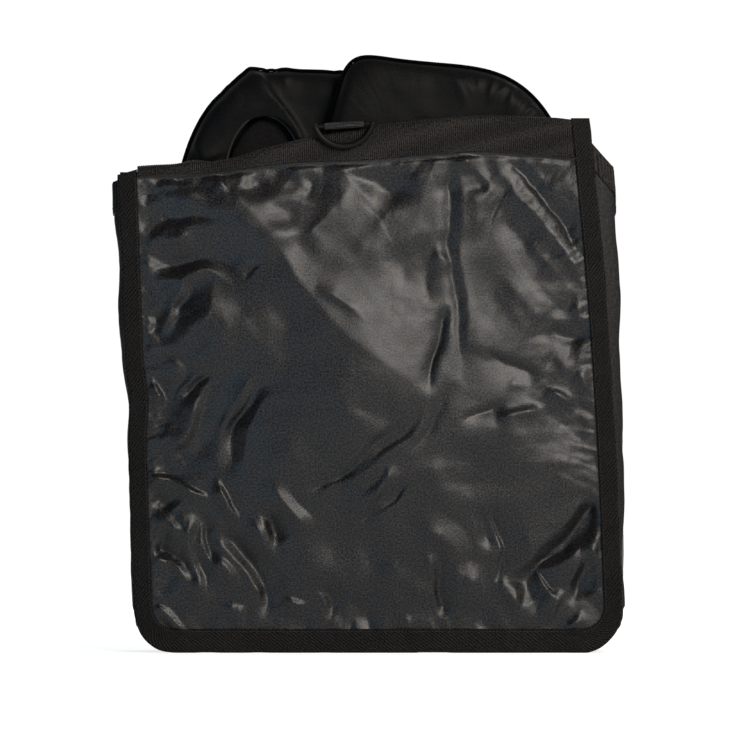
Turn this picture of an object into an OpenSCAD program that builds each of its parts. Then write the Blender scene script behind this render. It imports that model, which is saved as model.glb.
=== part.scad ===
// Gusseted carry bag with two folded spring-hoop goals standing in its mouth.
// X runs across the bag, Y from the front panel to the back panel, Z up.

/* [Folded goals] */
// Width of a folded goal where it is widest
fold_w = 400; // [360:1:440]
// Height of the folded right goal at its lobe's middle, over its piping
right_fold_h = 589.5; // [540:0.5:660]
// Height of the folded left goal at its lobe's middle, over its piping
left_fold_h = 585.5; // [540:0.5:660]
// Width of the top lobe of the right goal
right_lobe_w = 283; // [240:1:330]
// Width of the top lobe of the left goal
left_lobe_w = 286; // [260:1:340]
// Sideways shift of the right goal's top lobe
right_shift = 75; // [0:1:78]
// Sideways shift of the left goal's top lobe
left_shift = 60; // [0:1:64]
// Slope of the right lobe's top, down to the right
right_slope = 4; // [0:0.5:6]
// Slope of the left lobe's top, down to the right
left_slope = 1.5; // [0:0.5:3]
// How far the cloth at the right goal's top left corner stands up past its hoop
right_corner = 19; // [0:1:22]
// How far the cloth at the left goal's top left corner stands up past its hoop
left_corner = 6; // [0:1:10]
// Clear space between the two folded goals
goal_gap = 3; // [1:0.5:10]
// Height at which a folded goal begins to narrow
narrow_from = 150; // [100:1:220]
// Height at which the top lobe has its full shift
narrow_to = 520; // [440:1:530]

/* [Spring hoops] */
// Turns that a folded hoop makes
hoop_turns = 3; // [2:1:3]
// Radius of the hoop rod
rod_r = 2; // [1.5:0.1:2.6]
// Radius of the fabric sleeve round the rod
sleeve_r = 4.6; // [4:0.1:5]
// Wall of the fabric sleeve
sleeve_wall = 2; // [1:0.1:2]
// How far the turns spread from the bundle's centre, in the hoop's plane
spread_r = 8; // [7:0.5:10]
// How far the turns spread from front to back
spread_y = 8.4; // [7:0.1:10]
// Length of the ferrule that joins the rod's ends
ferrule_l = 40; // [24:1:50]
// Wall of the ferrule
ferrule_wall = 0.8; // [0.5:0.1:1]

/* [Goal fabric] */
// Thickness of a goal's fabric skins
skin_t = 1; // [0.6:0.1:1.4]
// Width over which a skin rounds down to its rim
rim_round = 26; // [20:1:34]
// Radius of the piping round a goal's rim
piping_r = 1.6; // [1:0.1:2.4]
// Half width of the opening in the left goal's front skin
hole_w = 46; // [25:1:50]
// Half height of that opening
hole_h = 60; // [30:1:70]
// Height of the opening's centre above the bag's base
hole_z = 478; // [450:1:480]
// Distance of the opening's centre to the left of the left lobe's centre
hole_x = 52; // [30:1:70]
// Width of the tape that binds the opening
hole_tape = 5; // [3:0.5:8]
// Distance from a goal's rim in to its folded net
net_inset = 42; // [38:1:60]
// Depth by which the left net lies back behind the opening
net_recess = 9; // [6:0.5:11]
// Width of a peg tab
tab_w = 22; // [14:1:30]
// Length of a peg tab beyond the piping
tab_l = 11; // [6:0.5:13]
// Thickness of a peg tab
tab_t = 2; // [1:0.1:3]

/* [Bag] */
// How much wider the bound panel is than a folded goal, at the base
base_ease = 91; // [80:1:130]
// How much wider the bound panel is than a folded goal, at the mouth
mouth_ease = 75; // [70:1:130]
// Sideways shift of the mouth from the base
lean = 26; // [0:1:30]
// Height of the panels at the mouth's low corner
low_h = 481; // [440:1:500]
// Height of the panels at the mouth's high corner
high_h = 535; // [500:1:560]
// Radius of the panels' bottom corners
corner_r = 45; // [32:1:70]
// Slack of the right edge between its corners
side_bow = 5; // [0:0.5:8]
// Clear space between the right goal and the tab inside the mouth
mouth_room = 1.5; // [0.5:0.5:12]
// How far the middle of a panel stands out of its seam plane
panel_dome = 20; // [4:0.5:24]
// Height of the long fold that runs down across the front panel
front_fold = 10; // [0:0.5:12]
// Thickness of the bag's coated cloth
cloth_t = 1; // [0.6:0.1:1.4]
// Width by which the right gusset bulges past the bound edge
gusset_out_right = 16; // [4:0.5:24]
// Width by which the left gusset bulges past the bound edge
gusset_out_left = 4; // [2:0.5:20]
// Drop of the right gusset's top edge
gusset_sag_right = 72; // [20:1:100]
// Drop of the left gusset's top edge
gusset_sag_left = 14; // [5:1:60]

/* [Tapes] */
// Width that the edge binding shows down the sides
bind_w = 19; // [14:0.5:24]
// Width that the edge binding shows along the base
bind_base_w = 24; // [18:0.5:28]
// Thickness of the binding tape
bind_t = 1; // [0.6:0.1:1.4]
// Width of the ribbed tape along the mouth
hem_w = 38; // [30:1:44]
// Thickness of the ribbed tape
hem_t = 1.5; // [0.8:0.1:1.8]
// Height that the hem shows where it is rolled over
rolled_show = 9; // [8:0.5:14]
// Height that the hem shows where it stands up
open_show = 36; // [26:0.5:38]
// Radius of the rolled hem
roll_r = 5.5; // [5:0.1:5.8]
// Width of the hem tape on the gusset
gusset_hem_w = 30; // [20:1:34]

/* [D-ring] */
// Width between the centres of the ring's corners
ring_w = 57; // [50:0.5:64]
// Drop from the bar's centre to the bow's centre
ring_drop = 21; // [17:0.5:26]
// Radius of the straight bar
bar_r = 1.9; // [1.5:0.1:2.5]
// Radius of the bow
bow_r = 3; // [2.2:0.1:3.4]
// Distance of the ring to the left of the bag's centre
ring_x = 26; // [0:1:60]
// Height of the bar above the hem's top edge
ring_rise = 8; // [7:0.5:12]
// Slope of the bar
ring_slope = 3.8; // [0:0.1:6]
// Width of the webbing tab that holds the bar
d_tab_w = 40; // [24:1:44]
// Thickness of the tab's two plies together
d_tab_t = 2.4; // [1.6:0.1:2.8]
// Length of the tab down the inside of the hem
d_tab_l = 34; // [20:1:36]

/* [Hidden] */

// Clearances
ply_gap = 0.1;      // between plies that are sewn together
seat_gap = 0.3;     // between pieces that rest against each other
pin_gap = 0.3;      // round the bar in its webbing tab
rod_gap = 0.4;      // round the rod in its ferrule
tape_gap = 0.25;    // behind a tape that lies on curved cloth

// Counts
loop_rings = 24;    // rings in one turn of a hoop
tube_sides = 6;
rim_steps = 32;     // points round a goal's rim
piping_sides = 5;

// Folded goals: places that follow from the sizes above
skin_in = spread_y + sleeve_r + seat_gap;          // goal's mid-plane to a skin's inner face
fold_t = 2 * (skin_in + skin_t);                   // thickness of a folded goal
goal_y = (fold_t + goal_gap) / 2;                  // mid-plane of each goal from the bag's middle
piping_out = piping_r + seat_gap;                  // piping's centre beyond the rim
base_clear = cloth_t + seat_gap;                   // piping stands this far above the floor
rim_low = base_clear + piping_out + piping_r;      // lowest point of a goal's rim
bundle_in = rim_round;                             // rim to the centre of the bundle of turns

// Bag: planes and edges
hem_out = 2;                                       // hem's lower edge stands this far out of the ply
hem_lift = cloth_t / 2 + tape_gap;                 // middle of the hem's cloth to its tape
roll_in = 2 * roll_r + hem_lift + hem_t;           // middle of the hem's cloth to the back of its roll
hem_y = fold_t + goal_gap / 2 + mouth_room + d_tab_t + seat_gap + roll_in;
ply_y = hem_y - hem_out;                           // middle of a panel's ply
seam_y = ply_y - (ply_gap + cloth_t) / 2;          // plane of a panel's seam
leaf_y = ply_y + (cloth_t + bind_t) / 2 + ply_gap; // middle of the binding's outer leaf
base_w = fold_w + base_ease;
mouth_w = fold_w + mouth_ease;
mouth_z = (low_h + high_h) / 2;
base_cx = 0.4 * lean;
fold_half = 1.5 * ply_gap + cloth_t + bind_t / 2;  // half the distance between the binding's leaves
ply_in = fold_half + seat_gap;                     // bound edge to the edge of the plies inside
wall_y = seam_y - 4.5;                             // gusset's wall starts to bulge here
bulge_power = 0.6;
bulge_flat = 1.5;                                  // over 1: the bulge is cut flat across its middle

function lerp(a, b, t) = a + (b - a) * t;
function clamp(t) = max(0, min(1, t));
function smooth(t) = clamp(t) * clamp(t) * (3 - 2 * clamp(t));
function mean(list) = [for (k = [0 : 2]) sum([for (p = list) p[k]]) / len(list)];
function sum(list, i = 0) = i >= len(list) ? 0 : list[i] + sum(list, i + 1);
function unit(v) = v / norm(v);

// ---- Bound outline of a panel ----

function half_w(z) = lerp(base_w, mouth_w, z / mouth_z) / 2;
function mid_x(z) = base_cx - lean * z / mouth_z;
function bow(z) = side_bow * sin(180 * clamp((z - corner_r) / (high_h - corner_r)));
function edge_l(z) = mid_x(z) - half_w(z);
function edge_r(z) = mid_x(z) + half_w(z) + bow(z);
centre_l = [edge_l(corner_r) + corner_r, corner_r];
centre_r = [edge_r(corner_r) - corner_r, corner_r];

// Point and outward direction on the bound edge. The left edge is q = 0 to 1, its corner 1 to 2,
// the base 2 to 3, the right corner 3 to 4 and the right edge 4 to 5.
function edge_dir(q) =
    q <= 1 ? [-1, 0]
    : q < 2 ? [cos(180 + 90 * (q - 1)), sin(180 + 90 * (q - 1))]
    : q <= 3 ? [0, -1]
    : q < 4 ? [cos(270 + 90 * (q - 3)), sin(270 + 90 * (q - 3))]
    : [1, 0];
function edge_point(q, top_l = low_h, top_r = high_h) =
    q <= 1 ? [edge_l(lerp(top_l, corner_r, q)), lerp(top_l, corner_r, q)]
    : q < 2 ? centre_l + corner_r * edge_dir(q)
    : q <= 3 ? [lerp(centre_l[0], centre_r[0], q - 2), 0]
    : q < 4 ? centre_r + corner_r * edge_dir(q)
    : [edge_r(lerp(corner_r, top_r, q - 4)), lerp(corner_r, top_r, q - 4)];
// Width of the binding, which is wider along the base
function bind_at(q) = lerp(bind_w, bind_base_w, min(clamp(q - 1), clamp(4 - q)));
edge_steps = concat([for (k = [0 : 5]) k / 6], [for (k = [0 : 4]) 1 + k / 5],
    [for (k = [0 : 5]) 2 + k / 6], [for (k = [0 : 4]) 3 + k / 5], [for (k = [0 : 6]) 4 + k / 6]);

// ---- Hem line along the mouth ----

seam_l = edge_l(low_h) + bind_w;
seam_r = edge_r(high_h) - bind_w;
function along(x) = clamp((x - seam_l) / (seam_r - seam_l));
function hem_z(x) = lerp(low_h - 5, high_h - hem_w + 3, along(x));
// Ends of the hem between the side bindings, at a distance v up the hem
function hem_l(v) = seam_l;
function hem_r(v) = edge_r(min(high_h, high_h - hem_w + 3 + v)) - bind_w;
function hem_show(x) = lerp(rolled_show, open_show, smooth((along(x) - 0.145) / 0.435));
function rise(x) = hem_show(x) - roll_r;
function turn(x, v) = (v - rise(x)) / roll_r;   // radians round the roll at a distance v up the hem
// Place of the hem's cloth at a distance v from its lower edge, as [y inwards, z up, y and z of its face]
function hem_path(x, v) =
    turn(x, v) <= 0 ? [0, v, -1, 0]
    : turn(x, v) <= PI ? [roll_r * (1 - cos(turn(x, v) * 180 / PI)),
        rise(x) + roll_r * sin(turn(x, v) * 180 / PI),
        -cos(turn(x, v) * 180 / PI), sin(turn(x, v) * 180 / PI)]
    : [2 * roll_r, rise(x) - (turn(x, v) - PI) * roll_r, 1, 0];

// ---- Solids from grids of points ----

function tri(a, b, c, d) = [[a, b, c], [a, c, d]];

// Thick sheet between two grids of points. Across a row, then up the rows, turns anticlockwise
// as seen from the outer side.
module sheet(outer, inner, wrap = false, filled = false) {
    rows = len(outer);
    cols = len(outer[0]);
    n = rows * cols;
    last = wrap ? cols - 1 : cols - 2;
    top = (rows - 1) * cols;
    points = concat([for (r = outer) each r], [for (r = inner) each r],
        filled ? [mean(outer[rows - 1]), mean(inner[rows - 1])] : []);
    function at(i, j) = i * cols + j % cols;
    faces = concat(
        [for (i = [0 : rows - 2], j = [0 : last])
            each tri(at(i, j), at(i + 1, j), at(i + 1, j + 1), at(i, j + 1))],
        [for (i = [0 : rows - 2], j = [0 : last])
            each tri(n + at(i, j), n + at(i, j + 1), n + at(i + 1, j + 1), n + at(i + 1, j))],
        [for (j = [0 : last]) each tri(at(0, j), at(0, j + 1), n + at(0, j + 1), n + at(0, j))],
        filled ? [for (j = [0 : last], side = [0, 1])
            side == 0 ? [top + (j + 1) % cols, top + j, 2 * n]
                : [n + top + j, n + top + (j + 1) % cols, 2 * n + 1]]
            : [for (j = [0 : last]) each tri(at(rows - 1, j + 1), at(rows - 1, j),
                n + at(rows - 1, j), n + at(rows - 1, j + 1))],
        wrap ? [] : [for (i = [0 : rows - 2])
            each tri(at(i + 1, 0), at(i, 0), n + at(i, 0), n + at(i + 1, 0))],
        wrap ? [] : [for (i = [0 : rows - 2])
            each tri(at(i, cols - 1), at(i + 1, cols - 1), n + at(i + 1, cols - 1), n + at(i, cols - 1))]);
    polyhedron(points, faces, convexity = 6);
}

// Rings of points round a path. The hoops and piping lie near the XZ plane, so Y steadies the rings.
function tube_rings(path, radius, sides, closed = false) =
    let (n = len(path))
    [for (i = [0 : n - 1])
        let (
            ahead = closed ? path[(i + 1) % n] : path[min(i + 1, n - 1)],
            behind = closed ? path[(i + n - 1) % n] : path[max(i - 1, 0)],
            t = unit(ahead - behind),
            side = unit(cross([0, 1, 0], t)),
            up = cross(t, side)
        )
        [for (k = [0 : sides - 1])
            path[i] + radius * (cos(90 + 360 * k / sides) * side + sin(90 + 360 * k / sides) * up)]];

module rod_solid(rings, closed = false) {
    n = len(rings);
    sides = len(rings[0]);
    last = closed ? n - 1 : n - 2;
    function at(i, k) = (i % n) * sides + k % sides;
    points = concat([for (r = rings) each r], closed ? [] : [mean(rings[0]), mean(rings[n - 1])]);
    faces = concat(
        [for (i = [0 : last], k = [0 : sides - 1])
            each tri(at(i, k), at(i + 1, k), at(i + 1, k + 1), at(i, k + 1))],
        closed ? [] : [for (k = [0 : sides - 1]) [at(0, k), at(0, k + 1), n * sides]],
        closed ? [] : [for (k = [0 : sides - 1]) [at(n - 1, k + 1), at(n - 1, k), n * sides + 1]]);
    polyhedron(points, faces, convexity = 6);
}

// Open line of 2D points moved sideways by d, with mitred corners
function offset_line(line, d) =
    let (n = len(line))
    [for (i = [0 : n - 1])
        let (
            a = unit(line[min(i + 1, n - 1)] - line[min(i, n - 2)]),
            b = unit(line[max(i, 1)] - line[max(i - 1, 0)]),
            m = unit([a[1] + b[1], -a[0] - b[0]])
        )
        line[i] + d * m / max(0.5, m * [a[1], -a[0]])];

// ---- Panels ----

// Distance in from the bound edge
function edge_distance(x, z) =
    z < corner_r && x < centre_l[0] ? corner_r - norm([x, z] - centre_l)
    : z < corner_r && x > centre_r[0] ? corner_r - norm([x, z] - centre_r)
    : min(x - edge_l(z), edge_r(z) - x, z);
dome_start = bind_base_w + 12;
dome_left = 170;    // distances over which the dome reaches its full height
dome_right = 230;
dome_base = 230;
dome_top = 230;
function lift(distance, reach) = sin(90 * clamp((distance - dome_start) / reach));
function swell(x, z) = lift(x - edge_l(z), dome_left) * lift(edge_r(z) - x, dome_right) * lift(z, dome_base);
function dome(x, z) = swell(x, z) * lerp(panel_dome, hem_out, smooth((z - low_h + dome_top) / dome_top));

// Long fold from the mouth's low corner down across the middle, as shares of the panel's width and height
fold_line = [for (p = [[-0.467, 0.977], [-0.295, 0.921], [-0.185, 0.832], [-0.116, 0.734], [-0.059, 0.672],
        [0.025, 0.609], [0.126, 0.536], [0.232, 0.468]]) [p[0] * mouth_w, p[1] * low_h]];
fold_above = 62;    // it falls away over these distances above and below its crest
fold_below = 70;
function fold_off(x, z) = 0.75 * (z - lookup(x, fold_line));
function long_fold(x, z) =
    exp(-pow(abs(fold_off(x, z)) / (fold_off(x, z) > 0 ? fold_above : fold_below), 1.15))
    * smooth((0.232 * mouth_w - x) / 130)
    * smooth((edge_distance(x, z) - dome_start) / 40) * smooth((hem_z(x) - z) / 40);

function row_l(z, inset) = z >= corner_r ? edge_l(z) + inset
    : centre_l[0] - sqrt(max(0, pow(corner_r - inset, 2) - pow(corner_r - z, 2)));
function row_r(z, inset) = z >= corner_r ? edge_r(z) - inset
    : centre_r[0] + sqrt(max(0, pow(corner_r - inset, 2) - pow(corner_r - z, 2)));

panel_cols = [0, 0.02, 0.06, 0.12, 0.2, 0.3, 0.4, 0.5, 0.6, 0.7, 0.8, 0.88, 0.94, 0.98, 1];
corner_rows = [for (k = [0 : 5]) corner_r - (corner_r - ply_in) * cos(18 * k)];
body_rows = [0.1, 0.21, 0.32, 0.43, 0.53, 0.62, 0.7, 0.78, 0.86, 0.93, 1];
hem_rows = [for (k = [0 : 9]) k * hem_w / 9];
hem_end = cloth_t / 2 + seat_gap;   // the hem stops this far from the side bindings
function hem_x(u, v) = lerp(hem_l(v) + hem_end, hem_r(v) - hem_end, u);
// Points of the hem, moved by d along the cloth's face
function hem_grid(rows, d) = [for (v = rows)
    [for (u = panel_cols)
        let (x = hem_x(u, v), h = hem_path(x, v))
        [x, -hem_y + h[0] + d * h[2], hem_z(x) + h[1] + d * h[3]]]];

// Panel points, moved by d along the cloth's face, with a long fold of that height
function panel_grid(d, fold) = concat(
    [for (z = corner_rows)
        [for (u = panel_cols)
            let (x = lerp(row_l(z, ply_in), row_r(z, ply_in), u))
            [x, -ply_y - dome(x, z) - fold * long_fold(x, z) - d, z]]],
    [for (w = body_rows)
        [for (u = panel_cols)
            let (
                z = lerp(corner_r, hem_z(lerp(seam_l, seam_r, u)) - 4, w),
                x = lerp(row_l(z, ply_in), row_r(z, ply_in), u)
            )
            [x, -ply_y - dome(x, z) - fold * long_fold(x, z) - d, z]]],
    [[for (u = panel_cols)
        let (x = hem_x(u, 0), z = hem_z(x) - 3)
        [x, -ply_y - dome(x, z) - d, z]]],
    hem_grid(hem_rows, d));

module panel(fold) {
    sheet(panel_grid(cloth_t / 2, fold), panel_grid(-cloth_t / 2, fold));
}

module hem_tape() {
    sheet(hem_grid(hem_rows, hem_lift + hem_t), hem_grid(hem_rows, hem_lift));
}

// Tape folded over the bound edge: its inner and outer leaves and the fold between them
module binding() {
    half = fold_half;
    back_y = -leaf_y + 2 * half;
    wall = cloth_t / 2 + seat_gap;      // the inner leaf stops short of the gusset's wall
    function fold(w) = [[0, -leaf_y], [w - half, -leaf_y],
        [w - bind_t / 2, -leaf_y + half / 2], [w - bind_t / 2, back_y - half / 2],
        [w - half, back_y], [wall, back_y]];
    function row(q, d) =
        let (w = bind_at(q), s = edge_point(q) - edge_dir(q) * w)
        [for (p = offset_line(fold(w), d))
            [s[0] + edge_dir(q)[0] * p[0], p[1], s[1] + edge_dir(q)[1] * p[0]]];
    sheet([for (q = edge_steps) row(q, bind_t / 2)], [for (q = edge_steps) row(q, -bind_t / 2)]);
}

// ---- Gusset ----

wall_angles = [for (k = [0 : 9]) 9 + 18 * k];
// Wall of the gusset from seam to seam, as [distance out of the seam, y]
function wall_line(b) = [for (a = wall_angles)
    [b * min(1, bulge_flat * pow(sin(a), bulge_power)), -wall_y * cos(a)]];
function gusset_line(b, w) = concat(
    [[w - ply_in, -seam_y + (ply_gap + cloth_t) / 2], [0, -seam_y + (ply_gap + cloth_t) / 2], [0, -wall_y]],
    wall_line(b),
    [[0, wall_y], [0, seam_y - (ply_gap + cloth_t) / 2], [w - ply_in, seam_y - (ply_gap + cloth_t) / 2]]);
// How far down the gusset's top edge hangs at each point of that line
sag_share = concat([0, 0, 0.15], [for (a = wall_angles) pow(sin(a), bulge_power)], [0.15, 0, 0]);
function bulge(q) = bind_at(q) - cloth_t / 2
    + (q < 1 ? gusset_out_left * (1 - q) : q > 4 ? gusset_out_right * clamp(1.1 * (q - 4)) : 0);

module gusset() {
    function row(q, d) =
        let (
            line = offset_line(gusset_line(bulge(q), bind_at(q)), d),
            out = edge_dir(q)
        )
        [for (j = [0 : len(line) - 1])
            let (s = edge_point(q, low_h - gusset_sag_left * sag_share[j],
                high_h - gusset_sag_right * sag_share[j]) - out * bind_at(q))
            [s[0] + out[0] * line[j][0], line[j][1], s[1] + out[1] * line[j][0]]];
    color("#24211f")
        sheet([for (q = edge_steps) row(q, cloth_t / 2)], [for (q = edge_steps) row(q, -cloth_t / 2)]);
}

// Tape along the top edge of the gusset, on its outer face
module gusset_hem(right) {
    top = right ? high_h : low_h;
    sag = right ? gusset_sag_right : gusset_sag_left;
    drops = right ? [gusset_hem_w, gusset_hem_w / 2, 0] : [0, gusset_hem_w / 2, gusset_hem_w];
    lift = cloth_t / 2 + tape_gap;
    function row(drop, d) = [for (j = [0 : len(wall_angles) - 1])
        let (
            z_top = top - sag * sag_share[j + 3],
            z = z_top - drop,
            down = drop / (z_top - corner_r),
            line = offset_line(wall_line(bulge(right ? 5 - down : down)), d)
        )
        [right ? edge_r(z) - bind_w + line[j][0] : edge_l(z) + bind_w - line[j][0], line[j][1], z]];
    color("#1d1b19")
        sheet([for (s = drops) row(s, lift + bind_t)], [for (s = drops) row(s, lift)]);
}

// ---- D-ring and its webbing tab ----

ring_cx = -ring_x;
ring_z = hem_z(ring_cx) + hem_show(ring_cx) + ring_rise;
knuckle_r = bow_r + 0.4;    // ball where the bar runs into the bow
ring_y = -(hem_y + hem_lift + hem_t + seat_gap + knuckle_r);

module at_ring() {
    translate([ring_cx, ring_y, ring_z]) rotate([0, -ring_slope, 0]) children();
}

module d_ring() {
    bow_arc = (pow(ring_w / 2, 2) + pow(ring_drop, 2)) / (2 * ring_drop);
    half = asin(ring_w / 2 / bow_arc);
    sweep = ring_drop > ring_w / 2 ? 180 - half : half;
    color("#17181a") at_ring() {
        rotate([0, 90, 0]) cylinder(r = bar_r, h = ring_w, center = true, $fn = 32);
        for (s = [-1, 1]) translate([s * ring_w / 2, 0, 0]) sphere(r = knuckle_r, $fn = 32);
        translate([0, 0, bow_arc - ring_drop]) rotate([90, 0, 0]) rotate([0, 0, -90 - sweep])
            rotate_extrude(angle = 2 * sweep, $fn = 96) translate([bow_arc, 0]) circle(r = bow_r, $fn = 32);
    }
}

module d_ring_tab() {
    ply = d_tab_t / 2;
    eye = bar_r + pin_gap;
    inside = -ring_y - hem_y + roll_in + seat_gap;   // from the bar back to the inside of the hem
    bend = d_tab_t + 1;
    color("#1b1a18") at_ring() rotate([90, 0, 90])
        linear_extrude(height = d_tab_w, center = true) difference() {
            union() {
                circle(r = eye + ply, $fn = 48);
                translate([0, -ply]) square([inside - bend + d_tab_t, d_tab_t]);
                translate([inside - bend + d_tab_t, ply - bend]) intersection() {
                    difference() {
                        circle(r = bend, $fn = 48);
                        circle(r = bend - d_tab_t, $fn = 32);
                    }
                    square(bend);
                }
                translate([inside, ply - bend - d_tab_l + bend]) square([d_tab_t, d_tab_l - bend]);
            }
            circle(r = eye, $fn = 48);
        }
}

// ---- Folded goals ----

// A goal is [side, height, lobe width, lobe shift, slope, corner]; side is -1 for the left goal, behind
// the right one. A corner is [angle, half width as an angle, x, z]: where the cloth stands out, and how far.
left_goal = [-1, left_fold_h, left_lobe_w, -left_shift, left_slope, [112, 7, 0, left_corner]];
right_goal = [1, right_fold_h, right_lobe_w, right_shift, right_slope,
    [116, 14, -right_corner / 2, right_corner]];
round_power = 3;    // how square the folded outline is
function rim_high(g) = base_clear + g[1] - piping_out - piping_r;
function plane_y(g) = -g[0] * goal_y;
function narrow(z) = smooth((z - narrow_from) / (narrow_to - narrow_from));
function signed_pow(v, p) = sign(v) * pow(abs(v), p);
// Even rim of a folded goal at an angle: a rounded square that narrows and leans towards its top
function rim(g, a) =
    let (
        z = lerp(rim_low, rim_high(g), (1 + signed_pow(sin(a), 2 / round_power)) / 2),
        k = narrow(z),
        x = lerp(fold_w, g[2], k) / 2 * signed_pow(cos(a), 2 / round_power)
    )
    [g[3] * k + x, z - tan(g[4]) * x * k];
function rim_out(g, a) =
    let (t = unit(rim(g, a + 1.5) - rim(g, a - 1.5)))
    [t[1], -t[0]];
// How far the cloth's slack corner stands out past the even rim
function corner(g, a) = exp(-pow((a % 360 - g[5][0]) / g[5][1], 2)) * [g[5][2], g[5][3]];
// Point at a distance d in from the rim, and y from the bag's middle
function inset(g, a, d, y) =
    let (p = rim(g, a) - d * rim_out(g, a) + corner(g, a) * clamp(1 - d / rim_round))
    [p[0], y, p[1]];
rim_angles = [for (k = [0 : rim_steps - 1]) 360 * k / rim_steps];

// The hoop's turns lie in one bundle that is twisted once, so the rod closes on itself
function strand(g, s) =
    let (phase = s / hoop_turns)
    inset(g, 270 + s, bundle_in - spread_r * cos(phase), plane_y(g) + spread_y * sin(phase));
function hoop_points(g) = [for (i = [1 : hoop_turns * loop_rings]) strand(g, 360 * i / loop_rings)];
function hoop_start(g) = strand(g, 0);
function hoop_dir(g) = unit(strand(g, 360 / loop_rings) - hoop_start(g));
function joint_point(g) = (hoop_start(g) + strand(g, 360 / loop_rings)) / 2;
// Path of the rod or sleeve, leaving a gap of 2 * half at the joint
function hoop_path(g, half) = concat(
    [joint_point(g) + half * hoop_dir(g)], hoop_points(g), [joint_point(g) - half * hoop_dir(g)]);
function least_gap(path) =
    let (n = len(path), far = floor(loop_rings / 2))
    min([for (i = [0 : n - 1], j = [i + far : n - 1])
        if (j - i < n - far) norm(path[i] - path[j])]) - 2 * sleeve_r;
echo(least_gap_of_left_hoop_sleeve = least_gap(hoop_points(left_goal)));
echo(least_gap_of_right_hoop_sleeve = least_gap(hoop_points(right_goal)));

sleeve_mouth = ferrule_l / 2 + 3;

module hoop(g) {
    color("#3c3d3a") rod_solid(tube_rings(hoop_path(g, seat_gap), rod_r, tube_sides));
}

module sleeve(g) {
    path = hoop_path(g, sleeve_mouth);
    color("#1a1a1b") sheet(tube_rings(path, sleeve_r, tube_sides),
        tube_rings(path, sleeve_r - sleeve_wall, tube_sides), wrap = true);
}

module ferrule(g) {
    d = hoop_dir(g);
    color("#8f9093") translate(joint_point(g))
        rotate([0, acos(d[2]), atan2(d[1], d[0])]) difference() {
            cylinder(r = rod_r + rod_gap + ferrule_wall, h = ferrule_l, center = true, $fn = 32);
            cylinder(r = rod_r + rod_gap, h = ferrule_l + 1, center = true, $fn = 32);
        }
}

rim_rows = [0, 0.12, 0.32, 0.62, 1];
function round_off(t) = sqrt(1 - pow(1 - clamp(t), 2));
centre_rows = [0.45, 0.85];

// Skin on one face of a folded goal. face is -1 for the front skin and 1 for the back one.
function skin_mid(g) = [g[3] * 0.6, 0, (rim_low + rim_high(g)) / 2 + 30];
function skin_ring(g, face, t, d) =
    let (y = plane_y(g) + face * (ply_gap + skin_in * round_off(t) + d))
    [for (a = rim_angles) inset(g, a, rim_round * t, y)];
function toward(ring, mid, k) = [for (p = ring) [lerp(p[0], mid[0], k), p[1], lerp(p[2], mid[2], k)]];
function skin_grid(g, face, d) = concat(
    [for (t = rim_rows) skin_ring(g, face, t, d)],
    [for (k = centre_rows) toward(skin_ring(g, face, 1, d), skin_mid(g), k)]);

module skin(g, face) {
    front = face < 0 ? skin_t : 0;
    color("#151516")
        sheet(skin_grid(g, face, front), skin_grid(g, face, skin_t - front), wrap = true, filled = true);
}

// Points of the left goal's opening, grown by w
hole_cx = -left_shift - hole_x;
function hole_ring(w, y) = [for (a = rim_angles)
    [hole_cx + (hole_w + w) * cos(a), y, hole_z + (hole_h + w) * sin(a)]];
function mix_rings(a, b, k) = [for (i = [0 : len(a) - 1]) lerp(a[i], b[i], k)];

module holed_skin(g) {
    function grid(d) =
        let (
            flat_ring = skin_ring(g, -1, 1, d),
            y = flat_ring[0][1]
        )
        concat([for (t = rim_rows) skin_ring(g, -1, t, d)],
            [for (k = [0.35, 0.7, 1]) mix_rings(flat_ring, hole_ring(0, y), k)]);
    color("#151516") sheet(grid(skin_t), grid(0), wrap = true);
}

// Narrow tape round the opening, on the skin's outer face
module opening_tape(g) {
    y = plane_y(g) - ply_gap - skin_in - skin_t - ply_gap;
    t = 0.6;
    color("#2b2b2c") sheet([hole_ring(hole_tape, y - t), hole_ring(0, y - t)],
        [hole_ring(hole_tape, y), hole_ring(0, y)], wrap = true);
}

// Net folded between the skins, inside the bundle of turns
module net(g, recess) {
    half = skin_in - seat_gap;
    edge = 0.5;
    rows = [[net_inset, edge], [net_inset + 6, 1], [net_inset + 60, 1]];
    function grid(face, back) = concat(
        [for (r = rows) [for (a = rim_angles)
            inset(g, a, r[0], plane_y(g) + face * (half - back) * r[1])]]);
    color("#2a2b2d") sheet(grid(-1, recess), grid(1, 0), wrap = true, filled = true);
}

module piping(g) {
    path = [for (a = rim_angles) inset(g, a, -piping_out, plane_y(g))];
    color("#0f0f10") rod_solid(tube_rings(path, piping_r, piping_sides, closed = true), closed = true);
}

// Webbing loops for the ground pegs, pressed flat against each other
module peg_tabs(g) {
    sink = piping_out + piping_r + seat_gap;
    for (k = [17, 19, 29, 31]) {
        a = rim_angles[k];
        n = rim_out(g, a);
        p = rim(g, a) + sink * n;
        color("#1b1a18") translate([p[0], plane_y(g), p[1]]) rotate([90, 0, 0])
            rotate([0, 0, atan2(n[1], n[0])]) linear_extrude(height = tab_t, center = true) {
                translate([0, -tab_w / 2]) square([tab_l - 3, tab_w]);
                translate([tab_l - 3, -tab_w / 2 + 3]) square([3, tab_w - 6]);
                for (s = [-1, 1]) translate([tab_l - 3, s * (tab_w / 2 - 3)]) circle(r = 3, $fn = 24);
            }
    }
}

// ---- Nodes ----

module front_panel() { color("#2c2826") panel(front_fold); }
module back_panel() { color("#2c2826") mirror([0, 1, 0]) panel(0); }
module front_binding() { color("#1f1d1b") binding(); }
module back_binding() { color("#1f1d1b") mirror([0, 1, 0]) binding(); }
module front_hem_tape() { color("#211e1b") hem_tape(); }
module back_hem_tape() { color("#211e1b") mirror([0, 1, 0]) hem_tape(); }

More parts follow.
